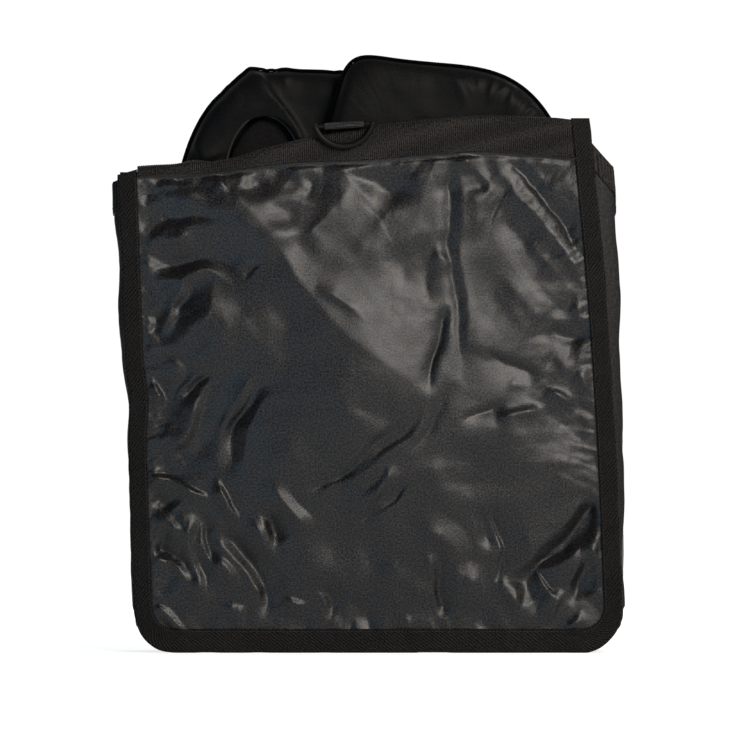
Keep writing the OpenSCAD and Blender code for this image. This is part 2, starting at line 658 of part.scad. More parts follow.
front_panel();
back_panel();
gusset();
front_binding();
back_binding();
front_hem_tape();
back_hem_tape();
gusset_hem(false);  // gusset_hem_left
gusset_hem(true);  // gusset_hem_right
d_ring_tab();
d_ring();
holed_skin(left_goal);  // left_goal_front_skin
skin(left_goal, 1);  // left_goal_back_skin
opening_tape(left_goal);  // left_goal_opening_tape
net(left_goal, net_recess);  // left_goal_net
hoop(left_goal);  // left_goal_hoop
ferrule(left_goal);  // left_goal_ferrule
sleeve(left_goal);  // left_goal_sleeve
piping(left_goal);  // left_goal_piping
peg_tabs(left_goal);  // left_goal_peg_tabs
skin(right_goal, -1);  // right_goal_front_skin
skin(right_goal, 1);  // right_goal_back_skin
net(right_goal, 0);  // right_goal_net
hoop(right_goal);  // right_goal_hoop
ferrule(right_goal);  // right_goal_ferrule
sleeve(right_goal);  // right_goal_sleeve
piping(right_goal);  // right_goal_piping
peg_tabs(right_goal);  // right_goal_peg_tabs
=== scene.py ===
"""Looks of an open nylon carry bag with two folded spring-hoop goals standing in its mouth.

Sizes are in millimetres until a mesh is made. X runs across the bag, Y from front to back, Z up.
"""

import math

import bpy
import numpy as np
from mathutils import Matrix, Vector


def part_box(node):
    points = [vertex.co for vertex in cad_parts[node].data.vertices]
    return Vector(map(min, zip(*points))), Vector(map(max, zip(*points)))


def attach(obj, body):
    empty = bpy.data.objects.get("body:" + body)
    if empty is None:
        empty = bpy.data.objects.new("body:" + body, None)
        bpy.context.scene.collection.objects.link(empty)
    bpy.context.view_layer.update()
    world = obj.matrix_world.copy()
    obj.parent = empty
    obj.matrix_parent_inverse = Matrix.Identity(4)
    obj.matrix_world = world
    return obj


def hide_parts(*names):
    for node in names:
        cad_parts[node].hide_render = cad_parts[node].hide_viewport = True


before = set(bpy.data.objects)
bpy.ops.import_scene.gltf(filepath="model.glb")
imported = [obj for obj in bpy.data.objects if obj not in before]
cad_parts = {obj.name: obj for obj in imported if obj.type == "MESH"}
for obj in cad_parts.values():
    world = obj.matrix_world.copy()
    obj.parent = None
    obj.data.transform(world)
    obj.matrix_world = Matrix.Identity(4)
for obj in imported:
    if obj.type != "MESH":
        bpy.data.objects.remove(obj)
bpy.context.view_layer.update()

MM = 0.001

# ---- Camera: the front of the bag, 1 mm to a pixel at the front panel ----

VIEW_W = 747.0
VIEW_CENTRE = (3.5, -50.0, 279.5)
CAMERA_BACK = 8000.0
SENSOR_W = 36.0


def add_camera():
    data = bpy.data.cameras.new("camera")
    camera = bpy.data.objects.new("camera", data)
    bpy.context.scene.collection.objects.link(camera)
    data.sensor_width = SENSOR_W
    data.lens = SENSOR_W * CAMERA_BACK / VIEW_W
    data.clip_start, data.clip_end = 0.1, 40.0
    x, y, z = VIEW_CENTRE
    camera.location = (x * MM, (y - CAMERA_BACK) * MM, z * MM)
    camera.rotation_euler = (math.radians(90), 0, 0)
    bpy.context.scene.camera = camera


# ---- Sizes, as the frame has them ----

# Distances from the bag's middle plane: of the panel's ply, its hem, the binding's outer and inner
# leaves, and the gusset's ply
PLY_Y, HEM_Y, LEAF_Y, INNER_LEAF_Y, GUSSET_PLY_Y = 45.55, 47.55, 46.65, 43.35, 44.45
CLOTH_T, TAPE_T, SKIN_T = 0.5, 1.0, 0.6
# The panels' outline: widths at the base and at MOUTH_Z, lean to the left and the share of the height
# where it is none, bow of the right side, dent of the left one with its height and reach, heights of
# the left and right sides, and radius of the bottom corners
BASE_W, MOUTH_W, MOUTH_Z = 491.0, 475.0, 508.0
LEAN, LEAN_FROM, SIDE_BOW = 26.0, 0.4, 5.0
DENT, DENT_Z, DENT_REACH = 3.5, 250, 26
LOW_H, HIGH_H, CORNER_R = 481.0, 535.0, 45.0
# What the binding covers at the sides and at the base, and how far in the plies end
BIND_W, BIND_BASE_W, PLY_IN = 19.0, 24.0, 1.95
HEM_W, ROLL_R = 38.0, 5.5
# Folded goals: their distance from the middle plane, half thickness, width low in the bag, height of
# the rim's lowest point, gap under the piping, and the width over which a skin rounds down to its rim
GOAL_Y, SKIN_IN, FOLD_W = 15.8, 13.3, 400.0
RIM_LOW, BASE_CLEAR, RIM_ROUND = 4.8, 1.3, 26.0
PIPING_R, PIPING_OUT = 1.6, 1.9
UV_SHIFT = 300.0     # keeps the cloth maps' coordinates positive


def lerp(a, b, t):
    return a + (b - a) * t


def smooth(t):
    t = np.clip(t, 0, 1)
    return t * t * (3 - 2 * t)


def hump(x, centre, width):
    return np.exp(-(((x - centre) / width) ** 2))


def unit(v):
    """Vectors of length 1, along the last axis."""
    return v / np.maximum(np.linalg.norm(v, axis=-1, keepdims=True), 1e-9)


def run_along(path):
    """Length along a path at each of its points."""
    return np.concatenate([[0], np.cumsum(np.linalg.norm(np.diff(path, axis=0), axis=1))])


def grid_of(down, across):
    """Grid of pairs from the values down its rows and across its columns."""
    return np.stack(np.meshgrid(down, across, indexing="ij"), -1)


def middle_x(z):
    """Middle of the leaning panels at height z."""
    return (LEAN_FROM - z / MOUTH_Z) * LEAN


def edge_l(z):
    """Left bound edge of the panels at height z."""
    z = np.asarray(z, float)
    return middle_x(z) - lerp(BASE_W, MOUTH_W, z / MOUTH_Z) / 2 + DENT * hump(z, DENT_Z, DENT_REACH)


def edge_r(z):
    """Right bound edge of the panels at height z."""
    z = np.asarray(z, float)
    bow = SIDE_BOW * np.sin(np.pi * np.clip((z - CORNER_R) / (HIGH_H - CORNER_R), 0, 1))
    return middle_x(z) + lerp(BASE_W, MOUTH_W, z / MOUTH_Z) / 2 + bow


CENTRE_L = np.array([float(edge_l(CORNER_R)) + CORNER_R, CORNER_R])
CENTRE_R = np.array([float(edge_r(CORNER_R)) - CORNER_R, CORNER_R])


def edge_dir(q):
    """Outward direction on the bound edge: q 0-1 left, 1-2 corner, 2-3 base, 3-4 corner, 4-5 right."""
    q = np.asarray(q, float)
    turn = np.clip(q - 1, 0, 1) + np.clip(q - 3, 0, 1)
    angle = math.pi * (1 + turn / 2)
    return np.stack([np.cos(angle), np.sin(angle)], -1)


def edge_point(q, top_l=LOW_H, top_r=HIGH_H):
    """Point (x, z) of the bound edge at q, where its two sides end at those heights."""
    q = np.asarray(q, float)
    out = edge_dir(q)
    z_l = lerp(top_l, CORNER_R, np.clip(q, 0, 1))
    z_r = lerp(CORNER_R, top_r, np.clip(q - 4, 0, 1))
    left = np.stack([edge_l(z_l), z_l], -1)
    right = np.stack([edge_r(z_r), z_r], -1)
    base = np.stack([lerp(CENTRE_L[0], CENTRE_R[0], np.clip(q - 2, 0, 1)), np.zeros_like(q)], -1)
    corner_l, corner_r = CENTRE_L + CORNER_R * out, CENTRE_R + CORNER_R * out
    pick = [q <= 1, q < 2, q <= 3, q < 4]
    return np.select([p[..., None] for p in pick], [left, corner_l, base, corner_r], right)


def bind_at(q):
    """Width that the binding covers at q."""
    return lerp(BIND_W, BIND_BASE_W, np.minimum(np.clip(q - 1, 0, 1), np.clip(4 - q, 0, 1)))


def even_steps(step):
    """Values of q that lie about a step apart along the bound edge, and the edge's length."""
    q = np.linspace(0, 5, 3000)
    run = run_along(edge_point(q))
    count = int(round(run[-1] / step)) + 1
    return np.interp(np.linspace(0, run[-1], count), run, q), run[-1]


SEAM_L = float(edge_l(LOW_H)) + BIND_W
SEAM_R = float(edge_r(HIGH_H)) - BIND_W


def through(x, points):
    """Smooth curve through given (x, value) points."""
    px, pv = np.array(points, float).T
    slope = np.gradient(pv, px)
    x = np.clip(x, px[0], px[-1])
    i = np.clip(np.searchsorted(px, x) - 1, 0, len(px) - 2)
    w = px[i + 1] - px[i]
    t = (x - px[i]) / w
    return ((2 * t**3 - 3 * t**2 + 1) * pv[i] + (t**3 - 2 * t**2 + t) * w * slope[i]
            + (3 * t**2 - 2 * t**3) * pv[i + 1] + (t**3 - t**2) * w * slope[i + 1])


# Lower edge of the hem, and how much of it stands up before it rolls over to the inside
HEM_LOW = [(-233, 476), (-215, 478), (-195, 479), (-172, 479), (-140, 482), (-88, 489), (-2, 493), (60, 498),
           (110, 501), (151, 499), (201, 495)]
HEM_SHOW = [(-233, 9.5), (-215, 8.6), (-195, 8.6), (-172, 12), (-160, 10), (-140, 10.5), (-115, 15), (-88, 19),
            (-45, 27), (-2, 33), (75, 35.5), (151, 36.5), (201, 41)]


def hem_z(x):
    """Height of the hem's lower edge."""
    return through(x, HEM_LOW)


def hem_path(x, v):
    """The hem's cloth at v up from its lower edge: y inwards, z up, and the y and z of its face."""
    rise = through(x, HEM_SHOW) - ROLL_R
    turn = (v - rise) / ROLL_R
    bent = np.clip(turn, 0, np.pi)
    y = ROLL_R * (1 - np.cos(bent))
    z = np.minimum(v, rise) + ROLL_R * np.sin(bent) - np.maximum(turn - np.pi, 0) * ROLL_R
    return y, z, -np.cos(bent), np.sin(bent)


# ---- Noise and folds ----

def noise(u, v, size, seed):
    """Smooth noise from -1 to 1 with bumps of about that size."""
    grid = np.random.default_rng(seed).uniform(-1, 1, (256, 256))
    u, v = np.asarray(u) / size + 64.5, np.asarray(v) / size + 64.5
    i, j = np.floor(u).astype(int), np.floor(v).astype(int)
    s, t = smooth(u - i), smooth(v - j)
    a, b, c, d = i % 256, (i + 1) % 256, j % 256, (j + 1) % 256
    return lerp(lerp(grid[a, c], grid[b, c], s), lerp(grid[a, d], grid[b, d], s), t)


def curve_through(points, per):
    """Catmull-Rom curve through given points, with so many steps per point."""
    p = np.array(points, float)
    p = np.concatenate([2 * p[:1] - p[1:2], p, 2 * p[-1:] - p[-2:-1]])
    t = (np.arange(per) / per)[:, None]
    out = []
    for a, b, c, d in zip(p, p[1:], p[2:], p[3:]):
        bend, twist = 2 * a - 5 * b + 4 * c - d, 3 * b - a - 3 * c + d
        out.append(0.5 * (2 * b + (c - a) * t + bend * t**2 + twist * t**3))
    return np.concatenate(out + [p[-2:-1]])


def beside(line, x, z):
    """Signed distance from a line, positive on its left, and the share of its length there."""
    best = np.full(x.shape, 1e9)
    signed, share = np.zeros(x.shape), np.zeros(x.shape)
    lengths = np.linalg.norm(np.diff(line, axis=0), axis=1)
    run, total = 0.0, lengths.sum()
    for a, b, length in zip(line, line[1:], lengths):
        if length < 1e-6:
            continue
        dx, dz = (b - a) / length
        along = np.clip((x - a[0]) * dx + (z - a[1]) * dz, 0, length)
        gx, gz = x - a[0] - along * dx, z - a[1] - along * dz
        dist = np.hypot(gx, gz)
        nearer = dist < best
        best = np.where(nearer, dist, best)
        signed = np.where(nearer, np.where(dx * (z - a[1]) - dz * (x - a[0]) >= 0, dist, -dist), signed)
        share = np.where(nearer, (run + along) / total, share)
        run += length
    return signed, share


# Shape of a fold's flanks. A crisp fold falls away in straight lines: over a narrow flank that faces
# the light, and a wide one that is turned from it. The others are rounded.
WIDEN = 1.25
LIT_FLANK, SHADED_FLANK, FLANK_END = 0.45, 1.3, 1.7
CRISP_BLUNT, SOFT_BLUNT, SOFT_POWER = 0.5, 0.9, 1.15
WANDER, FINE_WANDER = 4.5, 1.2


def is_crisp(line, blunt):
    """Folds of a panel's lower and left parts are crisp, apart from the broadest."""
    x, z = line.mean(0)
    return (z < 235 or x < -120) and line[:, 1].max() < 500 and blunt < 4


def fold(x, z, height, left, right, blunt, start, end, *crest):
    """Height over a flat of one fold, which is a row of a fold table."""
    line = curve_through(np.reshape(crest, (-1, 2)), 6)
    reach = 3.2 * max(left, right) + 4
    low, high = line.min(0) - reach, line.max(0) + reach
    near = (x > low[0]) & (x < high[0]) & (z > low[1]) & (z < high[1])
    out = np.zeros(x.shape)
    if not near.any():
        return out
    signed, share = beside(line, x[near], z[near])
    crisp = is_crisp(line, blunt)
    if crisp:
        run, rise = line[-1] - line[0]
        lit_left = (run > rise) == (height > 0)
        left *= LIT_FLANK if lit_left else SHADED_FLANK
        right *= SHADED_FLANK if lit_left else LIT_FLANK
    blunt *= CRISP_BLUNT if crisp else SOFT_BLUNT
    off = (np.sqrt(signed**2 + blunt**2) - blunt) / (WIDEN * np.where(signed > 0, left, right))
    profile = np.clip(1 - off / FLANK_END, 0, 1) if crisp else np.exp(-(off**SOFT_POWER))
    rise_over, fall_over = (min(0.015 * percent, 0.5) for percent in (start, end))
    out[near] = height * profile * smooth(share / rise_over) * smooth((1 - share) / fall_over)
    return out


def fold_all(x, z, folds, drift=1.0):
    """Height of all folds of a table. drift tells how far their lines wander."""
    x, z = (x + drift * (WANDER * noise(x, z, 30.0, 5) + FINE_WANDER * noise(x, z, 11.0, 7)),
            z + drift * WANDER * noise(x, z, 30.0, 6))
    return sum(fold(x, z, *row) for row in folds)


def depth_of(x, z):
    """The folds are deeper in the lower and left parts of a panel."""
    return 1 + 0.6 * np.maximum(smooth((330 - z) / 110), smooth((-110 - x) / 60))


# ---- Meshes ----

def add_mesh(name, points, faces, uv=None):
    """Smooth mesh object from points in mm. uv is one pair in mm for each point."""
    points, faces = np.reshape(points, (-1, 3)) * MM, np.asarray(faces, int)
    size = faces.shape[1]
    mesh = bpy.data.meshes.new(name)
    mesh.vertices.add(len(points))
    mesh.vertices.foreach_set("co", points.ravel())
    mesh.loops.add(faces.size)
    mesh.loops.foreach_set("vertex_index", faces.ravel())
    mesh.polygons.add(len(faces))
    mesh.polygons.foreach_set("loop_start", np.arange(0, faces.size, size))
    mesh.polygons.foreach_set("loop_total", np.full(len(faces), size))
    mesh.update()
    mesh.validate()
    if uv is not None:
        corners = (np.reshape(uv, (-1, 2)) * MM)[faces.ravel()]
        mesh.uv_layers.new(name="cloth").data.foreach_set("uv", corners.ravel())
    mesh.polygons.foreach_set("use_smooth", np.ones(len(mesh.polygons), bool))
    mesh.update()
    obj = bpy.data.objects.new(name, mesh)
    bpy.context.scene.collection.objects.link(obj)
    return obj


def grid_faces(rows, cols, wrap=False, start=0):
    """Quads of a grid of points; wrap joins its last column to its first."""
    i, j = np.meshgrid(np.arange(rows - 1), np.arange(cols if wrap else cols - 1), indexing="ij")
    k = (j + 1) % cols
    quads = [i * cols + j, i * cols + k, (i + 1) * cols + k, (i + 1) * cols + j]
    return start + np.stack(quads, -1).reshape(-1, 4)


def two_faces(outer, inner, uv, wrap, flip):
    """Points, uv and faces of the two sides of a sheet. Outer looks along rows x columns, or back if flip."""
    if flip:
        outer, inner, uv = outer[:, ::-1], inner[:, ::-1], uv[:, ::-1]
    rows, cols = outer.shape[:2]
    points = np.stack([outer, inner]).reshape(-1, 3)
    faces = [grid_faces(rows, cols, wrap), grid_faces(rows, cols, wrap, rows * cols)[:, ::-1]]
    return points, np.stack([uv, uv]).reshape(-1, 2), faces


def thick_sheet(name, outer, inner, uv, wrap=False, flip=False):
    """Closed thin sheet between two grids of points."""
    points, pairs, faces = two_faces(outer, inner, uv, wrap, flip)
    rows, cols = outer.shape[:2]
    n, last = rows * cols, (rows - 1) * cols
    a = np.arange(cols if wrap else cols - 1)
    b = (a + 1) % cols
    edges = [(a, n + a, n + b, b), (last + a, last + b, n + last + b, n + last + a)]
    if not wrap:
        a = np.arange(rows - 1) * cols
        b = a + cols - 1
        edges += [(a, a + cols, n + a + cols, n + a), (b, n + b, n + b + cols, b + cols)]
    return add_mesh(name, points, np.concatenate(faces + [np.stack(e, -1) for e in edges]), pairs)


def closed_disc(name, outer, inner, uv, flip):
    """Two-faced disc from rings of points, joined at the rim and closed at the middle by a small fan."""
    points, pairs, faces = two_faces(outer, inner, uv, True, flip)
    rows, cols = outer.shape[:2]
    n, last = rows * cols, (rows - 1) * cols
    a = np.arange(cols)
    b = (a + 1) % cols
    faces.append(np.stack([a, n + a, n + b, b], -1))
    a = np.arange(0, cols, 2)
    b, c = a + 1, (a + 2) % cols
    middle = np.full(len(a), 2 * n)
    faces.append(np.stack([middle, last + a, last + b, last + c], -1))
    faces.append(np.stack([middle + 1, n + last + c, n + last + b, n + last + a], -1))
    points = np.concatenate([points, outer[-1].mean(0)[None], inner[-1].mean(0)[None]])
    pairs = np.concatenate([pairs] + [uv[-1].mean(0)[None]] * 2)
    return add_mesh(name, points, np.concatenate(faces), pairs)


def normals_of(points, wrap=False):
    """Unit normals of a grid of points, along rows x columns."""
    across = np.roll(points, -1, 1) - np.roll(points, 1, 1) if wrap else np.gradient(points, axis=1)
    return unit(np.cross(across, np.gradient(points, axis=0)))


def tube_points(path, radius, sides, closed=False):
    """Rings round a path, as a grid of points. radius is a number, or one for each point."""
    along = unit(np.roll(path, -1, 0) - np.roll(path, 1, 0) if closed else np.gradient(path, axis=0))
    side = unit(np.cross((0.0, 1.0, 0.0), along))
    up = np.cross(along, side)
    a = 2 * np.pi * np.arange(sides)[:, None] / sides
    ring = np.cos(a) * side[:, None] + np.sin(a) * up[:, None]
    return path[:, None] + np.reshape(radius, (-1, 1, 1)) * ring


STITCH_PITCH, STITCH_LENGTH, THREAD_R, THREAD_SIDES = 3.4, 2.4, 0.28, 6
# Rings of one stitch: the share of its length, and its height over the cloth and girth in thread radii
STITCH_RINGS = [(-0.5, -0.7, 0.35), (-0.36, 0.1, 0.9), (0, 0.7, 1), (0.36, 0.1, 0.9), (0.5, -0.7, 0.35)]


def stitch_row(name, line, out, lift):
    """Row of stitches, lifted from a line of points; out is the direction that the cloth faces at each."""
    line = line + out * lift
    run = run_along(line)
    count = int(run[-1] / STITCH_PITCH)
    share, height, girth = np.array(STITCH_RINGS).T
    at = (np.arange(count)[:, None] + 0.5) * STITCH_PITCH + share * STITCH_LENGTH
    p, out = (np.stack([np.interp(at, run, axis) for axis in v.T], -1) for v in (line, out))
    out = unit(out)
    p = p + out * THREAD_R * height[:, None]
    side = np.cross(out, np.broadcast_to(unit(p[:, -1:] - p[:, :1]), out.shape))
    a = 2 * np.pi * np.arange(THREAD_SIDES)[:, None] / THREAD_SIDES
    ring = np.cos(a) * side[:, :, None] + np.sin(a) * out[:, :, None]
    points = p[:, :, None] + THREAD_R * girth[:, None, None] * ring
    rings = len(STITCH_RINGS)
    caps = np.array([[0, 5, 4, 3], [0, 3, 2, 1]])
    one = [grid_faces(rings, THREAD_SIDES, True), caps, (rings - 1) * THREAD_SIDES + caps[:, ::-1]]
    starts = np.arange(count) * rings * THREAD_SIDES
    faces = (np.concatenate(one) + starts[:, None, None]).reshape(-1, 4)
    uv = np.repeat(np.stack([at, 0 * at], -1).reshape(-1, 2), THREAD_SIDES, 0)
    return add_mesh(name, points, faces, uv)


# ---- Materials ----

class Nodes:
    """Short names for building one node tree."""

    def __init__(self, owner, shader="Principled BSDF"):
        owner.use_nodes = True
        self.tree = owner.node_tree
        self.shader = self.tree.nodes[shader]

    def feed(self, node, inputs):
        """Gives a node's inputs their values, or links them to other nodes' outputs."""
        for key, value in inputs.items():
            if isinstance(value, bpy.types.NodeSocket):
                self.tree.links.new(value, node.inputs[key])
            else:
                node.inputs[key].default_value = value

    def shade(self, **inputs):
        """Inputs of the shader, with _ for a space in their names."""
        self.feed(self.shader, {key.replace("_", " "): value for key, value in inputs.items()})

    def add(self, kind, inputs, **settings):
        node = self.tree.nodes.new("ShaderNode" + kind)
        for key, value in settings.items():
            setattr(node, key, value)
        self.feed(node, inputs)
        return node.outputs

    def ramp(self, source, low, high, start=0.0, end=1.0, between=()):
        """Colour from low to high; between holds (position, colour) stops on the way."""
        out = self.add("ValToRGB", {"Fac": source})["Color"]
        stops = out.node.color_ramp.elements
        stops[0].position, stops[1].position = start, end
        stops[0].color, stops[1].color = (*low, 1), (*high, 1)
        for position, colour in between:
            stops.new(position).color = (*colour, 1)
        return out

    def level(self, source, low, high, start=0.0, end=1.0, **settings):
        """Maps start to end onto low to high."""
        return self.add("MapRange", {"Value": source, "From Min": start, "From Max": end, "To Min": low,
                                     "To Max": high}, **settings)["Result"]

    def maths(self, kind, a, b):
        return self.add("Math", {0: a, 1: b}, operation=kind)[0]

    def mix(self, a, share_a, b, share_b):
        return self.maths("ADD", self.maths("MULTIPLY", a, share_a), self.maths("MULTIPLY", b, share_b))

    def place(self, scale=(1, 1, 1), turn=0.0, uv=True):
        """Texture place in metres: on the cloth's own map, or in the object's space."""
        source = self.add("UVMap", {}, uv_map="cloth")["UV"] if uv else self.add("TexCoord", {})["Object"]
        return self.add("Mapping", {"Vector": source, "Scale": scale, "Rotation": (0, 0, turn)})["Vector"]

    def wave(self, where, scale, direction="X", distortion=0.0):
        return self.add("TexWave", {"Vector": where, "Scale": scale, "Distortion": distortion},
                        bands_direction=direction)["Fac"]

    def speckle(self, where, scale, detail=3.0, roughness=0.5):
        return self.add("TexNoise", {"Vector": where, "Scale": scale, "Detail": detail,
                                     "Roughness": roughness})["Fac"]

    def bumps(self, *heights):
        """Chain of bumps from (height, distance in metres, strength)."""
        chain = {}
        for height, distance, strength in heights:
            chain = {"Normal": self.add("Bump", {"Height": height, "Distance": distance, "Strength": strength,
                                                 **chain})["Normal"]}
        self.feed(self.shader, chain)


def new_material(name):
    material = bpy.data.materials.new(name)
    return material, Nodes(material)


WARM_THREAD, COLD_THREAD = (1.0, 0.82, 0.60), (0.62, 0.84, 1.0)
PLAIN_GLOSS, COOL_GLOSS = (1.0, 1.0, 1.0), (0.92, 0.95, 1.0)


def cloth(name, dark, light, rough, thread, level, tint=PLAIN_GLOSS, spread=0.06, grain=0.5, flecks=(),
          glint=0.2):
    """Plain woven cloth. thread is its threads' pitch in mm; tint colours its gloss, which varies by glint."""
    material, n = new_material(name)
    at = n.place()
    bands = 1 / (2 * thread * MM) / math.pi
    warp, weft = n.wave(n.place((1, 0.02, 1)), bands, "X"), n.wave(n.place((0.02, 1, 1)), bands, "Y")
    weave = n.maths("MULTIPLY", warp, weft)
    broad = n.speckle(at, 14.0)
    fine = n.speckle(at, 620.0, 2.0, 0.7)
    sparse = n.level(n.speckle(at, 560.0, 2.0, 0.8), 0.0, 1.0, 0.36, 0.64)
    hue = n.speckle(n.place(turn=0.7), 470.0, 2.0, 0.8)
    warm, cold = [tuple(t * g for t, g in zip(tint, gloss)) for gloss in (WARM_THREAD, COLD_THREAD)]
    n.shade(Base_Color=n.ramp(n.mix(broad, 1 - grain, sparse, grain), dark, light, 0.15, 0.85, flecks),
            Roughness=n.level(n.mix(broad, 0.6, sparse, 0.4), rough - spread, rough + spread, 0.3, 0.7),
            Specular_IOR_Level=n.level(sparse, level * (1 - glint), level * (1 + glint)),
            Specular_Tint=n.ramp(hue, cold, warm, 0.38, 0.62))
    n.bumps((weave, 0.00008, 0.35), (fine, 0.00035, 0.6))
    return material


def tape_cloth(name, dark, light, rough, pitch, slant=0.9, rib=False, level=0.12):
    """Twill tape: slanted ridges across its width, with painted light on them and shade between. rib gives
    straight cross ribs instead.
    """
    material, n = new_material(name)
    at = n.place()
    bands = 1 / (pitch * MM) / math.pi
    ridge_and_shade = n.wave(n.place((1, 0.01, 1)), bands) if rib else n.wave(n.place(turn=slant), bands, distortion=0.4)
    fine = n.speckle(at, 640.0, 2.0, 0.8)
    broad = n.maths("SUBTRACT", n.speckle(at, 22.0), 0.5)
    grit = n.level(fine, 0.0, 1.0, 0.40, 0.60)
    # The colour follows the ridges: painted light on their tops and painted shade in the grooves between them,
    # over random grit and broad tone.
    tone = n.maths("ADD", n.mix(ridge_and_shade, 0.45, grit, 0.55), n.maths("MULTIPLY", broad, 0.4))
    n.shade(Base_Color=n.ramp(tone, dark, light, 0.1, 0.9),
            Roughness=n.level(fine, rough - 0.06, rough + 0.08, 0.3, 0.7),
            Specular_IOR_Level=n.level(grit, level * 0.3, level * 1.7))
    n.bumps((ridge_and_shade, 0.0004, 0.8), (fine, 0.0003, 0.5))
    return material


def plastic(name, dark, light, rough, level):
    """Moulded plastic with faint handling marks."""
    material, n = new_material(name)
    at = n.place(uv=False)
    broad, fine = n.speckle(at, 60.0), n.speckle(at, 900.0, 3.0, 0.6)
    n.shade(Base_Color=n.ramp(broad, dark, light, 0.35, 0.65), Specular_IOR_Level=level,
            Roughness=n.level(n.maths("ADD", broad, fine), rough - 0.05, rough + 0.1, 0.7, 1.3))
    n.bumps((fine, 0.00005, 0.3))
    return material


def metal(name, dark, light, rough):
    """Drawn tube, with fine lines along it."""
    material, n = new_material(name)
    drawn = n.speckle(n.place((1, 1, 30), uv=False), 300.0)
    n.shade(Base_Color=n.ramp(drawn, dark, light, 0.3, 0.7), Metallic=1.0,
            Roughness=n.level(drawn, rough - 0.08, rough + 0.1, 0.3, 0.7))
    n.bumps((drawn, 0.00004, 0.4))
    return material


def netting(name, dark, light, rough):
    """Knitted mesh laid in many layers: a soft grid of cells, with painted shade in their holes."""
    material, n = new_material(name)
    at = n.place()
    cells = n.add("TexVoronoi", {"Vector": at, "Scale": 260.0}, feature="DISTANCE_TO_EDGE")["Distance"]
    fine = n.speckle(at, 500.0)
    hole = n.level(cells, 0.0, 1.0, 0.02, 0.22)
    # The holes are painted darker: painted shade of the layers behind them, besides the dent that the bump
    # gives them.
    tone = n.maths("ADD", n.maths("MULTIPLY", hole, -0.6), n.maths("ADD", fine, 0.35))
    n.shade(Base_Color=n.ramp(tone, dark, light, 0.1, 0.9), Specular_IOR_Level=0.08,
            Roughness=n.level(fine, rough - 0.05, rough + 0.1, 0.3, 0.7))
    n.bumps((hole, 0.0006, -0.6), (fine, 0.0002, 0.4))
    return material


def grey(level):
    return (level, level, level)


MATERIALS = {
    "bag_cloth": cloth(
        "bag_nylon", (0.0008, 0.0006, 0.0004), (0.0138, 0.0132, 0.0126), 0.40, 0.5, 0.38, COOL_GLOSS, 0.06,
        0.85, [(0.4, (0.0015, 0.0040, 0.0074)), (0.6, (0.0084, 0.0056, 0.0034))], 0.34),
    "gusset_cloth": cloth(
        "gusset_nylon", (0.0006, 0.0005, 0.0004), (0.0140, 0.0136, 0.0130), 0.52, 0.5, 0.20, COOL_GLOSS, 0.05,
        0.8, [(0.4, (0.0016, 0.0030, 0.0044)), (0.6, (0.0072, 0.0054, 0.0040))], 0.32),
    "binding_tape": tape_cloth(
        "binding_twill", (0.0001, 0.0001, 0.0002), (0.0128, 0.0127, 0.0124), 0.60, 2.8, level=0.06),
    "ribbed_tape": tape_cloth(
        "hem_rib", (0.0002, 0.0003, 0.0006), (0.0172, 0.0160, 0.0146), 0.64, 2.1, rib=True, level=0.14),
    "tab_webbing": tape_cloth(
        "tab_weave", grey(0.0012), (0.0050, 0.0049, 0.0048), 0.42, 1.6, 0.0, level=0.3),
    "thread": cloth("sewing_thread", grey(0.004), (0.009, 0.009, 0.0095), 0.5, 0.3, 0.4),
    "ring_plastic": plastic("ring_moulding", (0.0020, 0.0021, 0.0024), (0.0042, 0.0044, 0.0050), 0.45, 0.10),
    "goal_cloth": cloth(
        "goal_nylon", (0.0014, 0.0015, 0.0016), grey(0.0046), 0.48, 0.6, 0.075, COOL_GLOSS, 0.04),
    "goal_net": netting("goal_netting", grey(0.0010), (0.0042, 0.0042, 0.0044), 0.7),
    "hoop_rod": plastic("glass_fibre_rod", (0.10, 0.11, 0.09), (0.16, 0.17, 0.14), 0.42, 0.5),
    "ferrule_metal": metal("drawn_tube", (0.50, 0.50, 0.52), (0.66, 0.66, 0.68), 0.34),
    "hoop_sleeve": cloth("sleeve_nylon", (0.0014, 0.0014, 0.0015), (0.0042, 0.0042, 0.0043), 0.55, 0.6, 0.06),
    "goal_piping": tape_cloth("piping_tape", grey(0.0003), grey(0.0012), 0.6, 1.2, 0.6, level=0.02),
    "opening_tape": cloth("opening_binding", grey(0.008), grey(0.018), 0.5, 0.5, 0.14),
}


# ---- Front and back panels ----

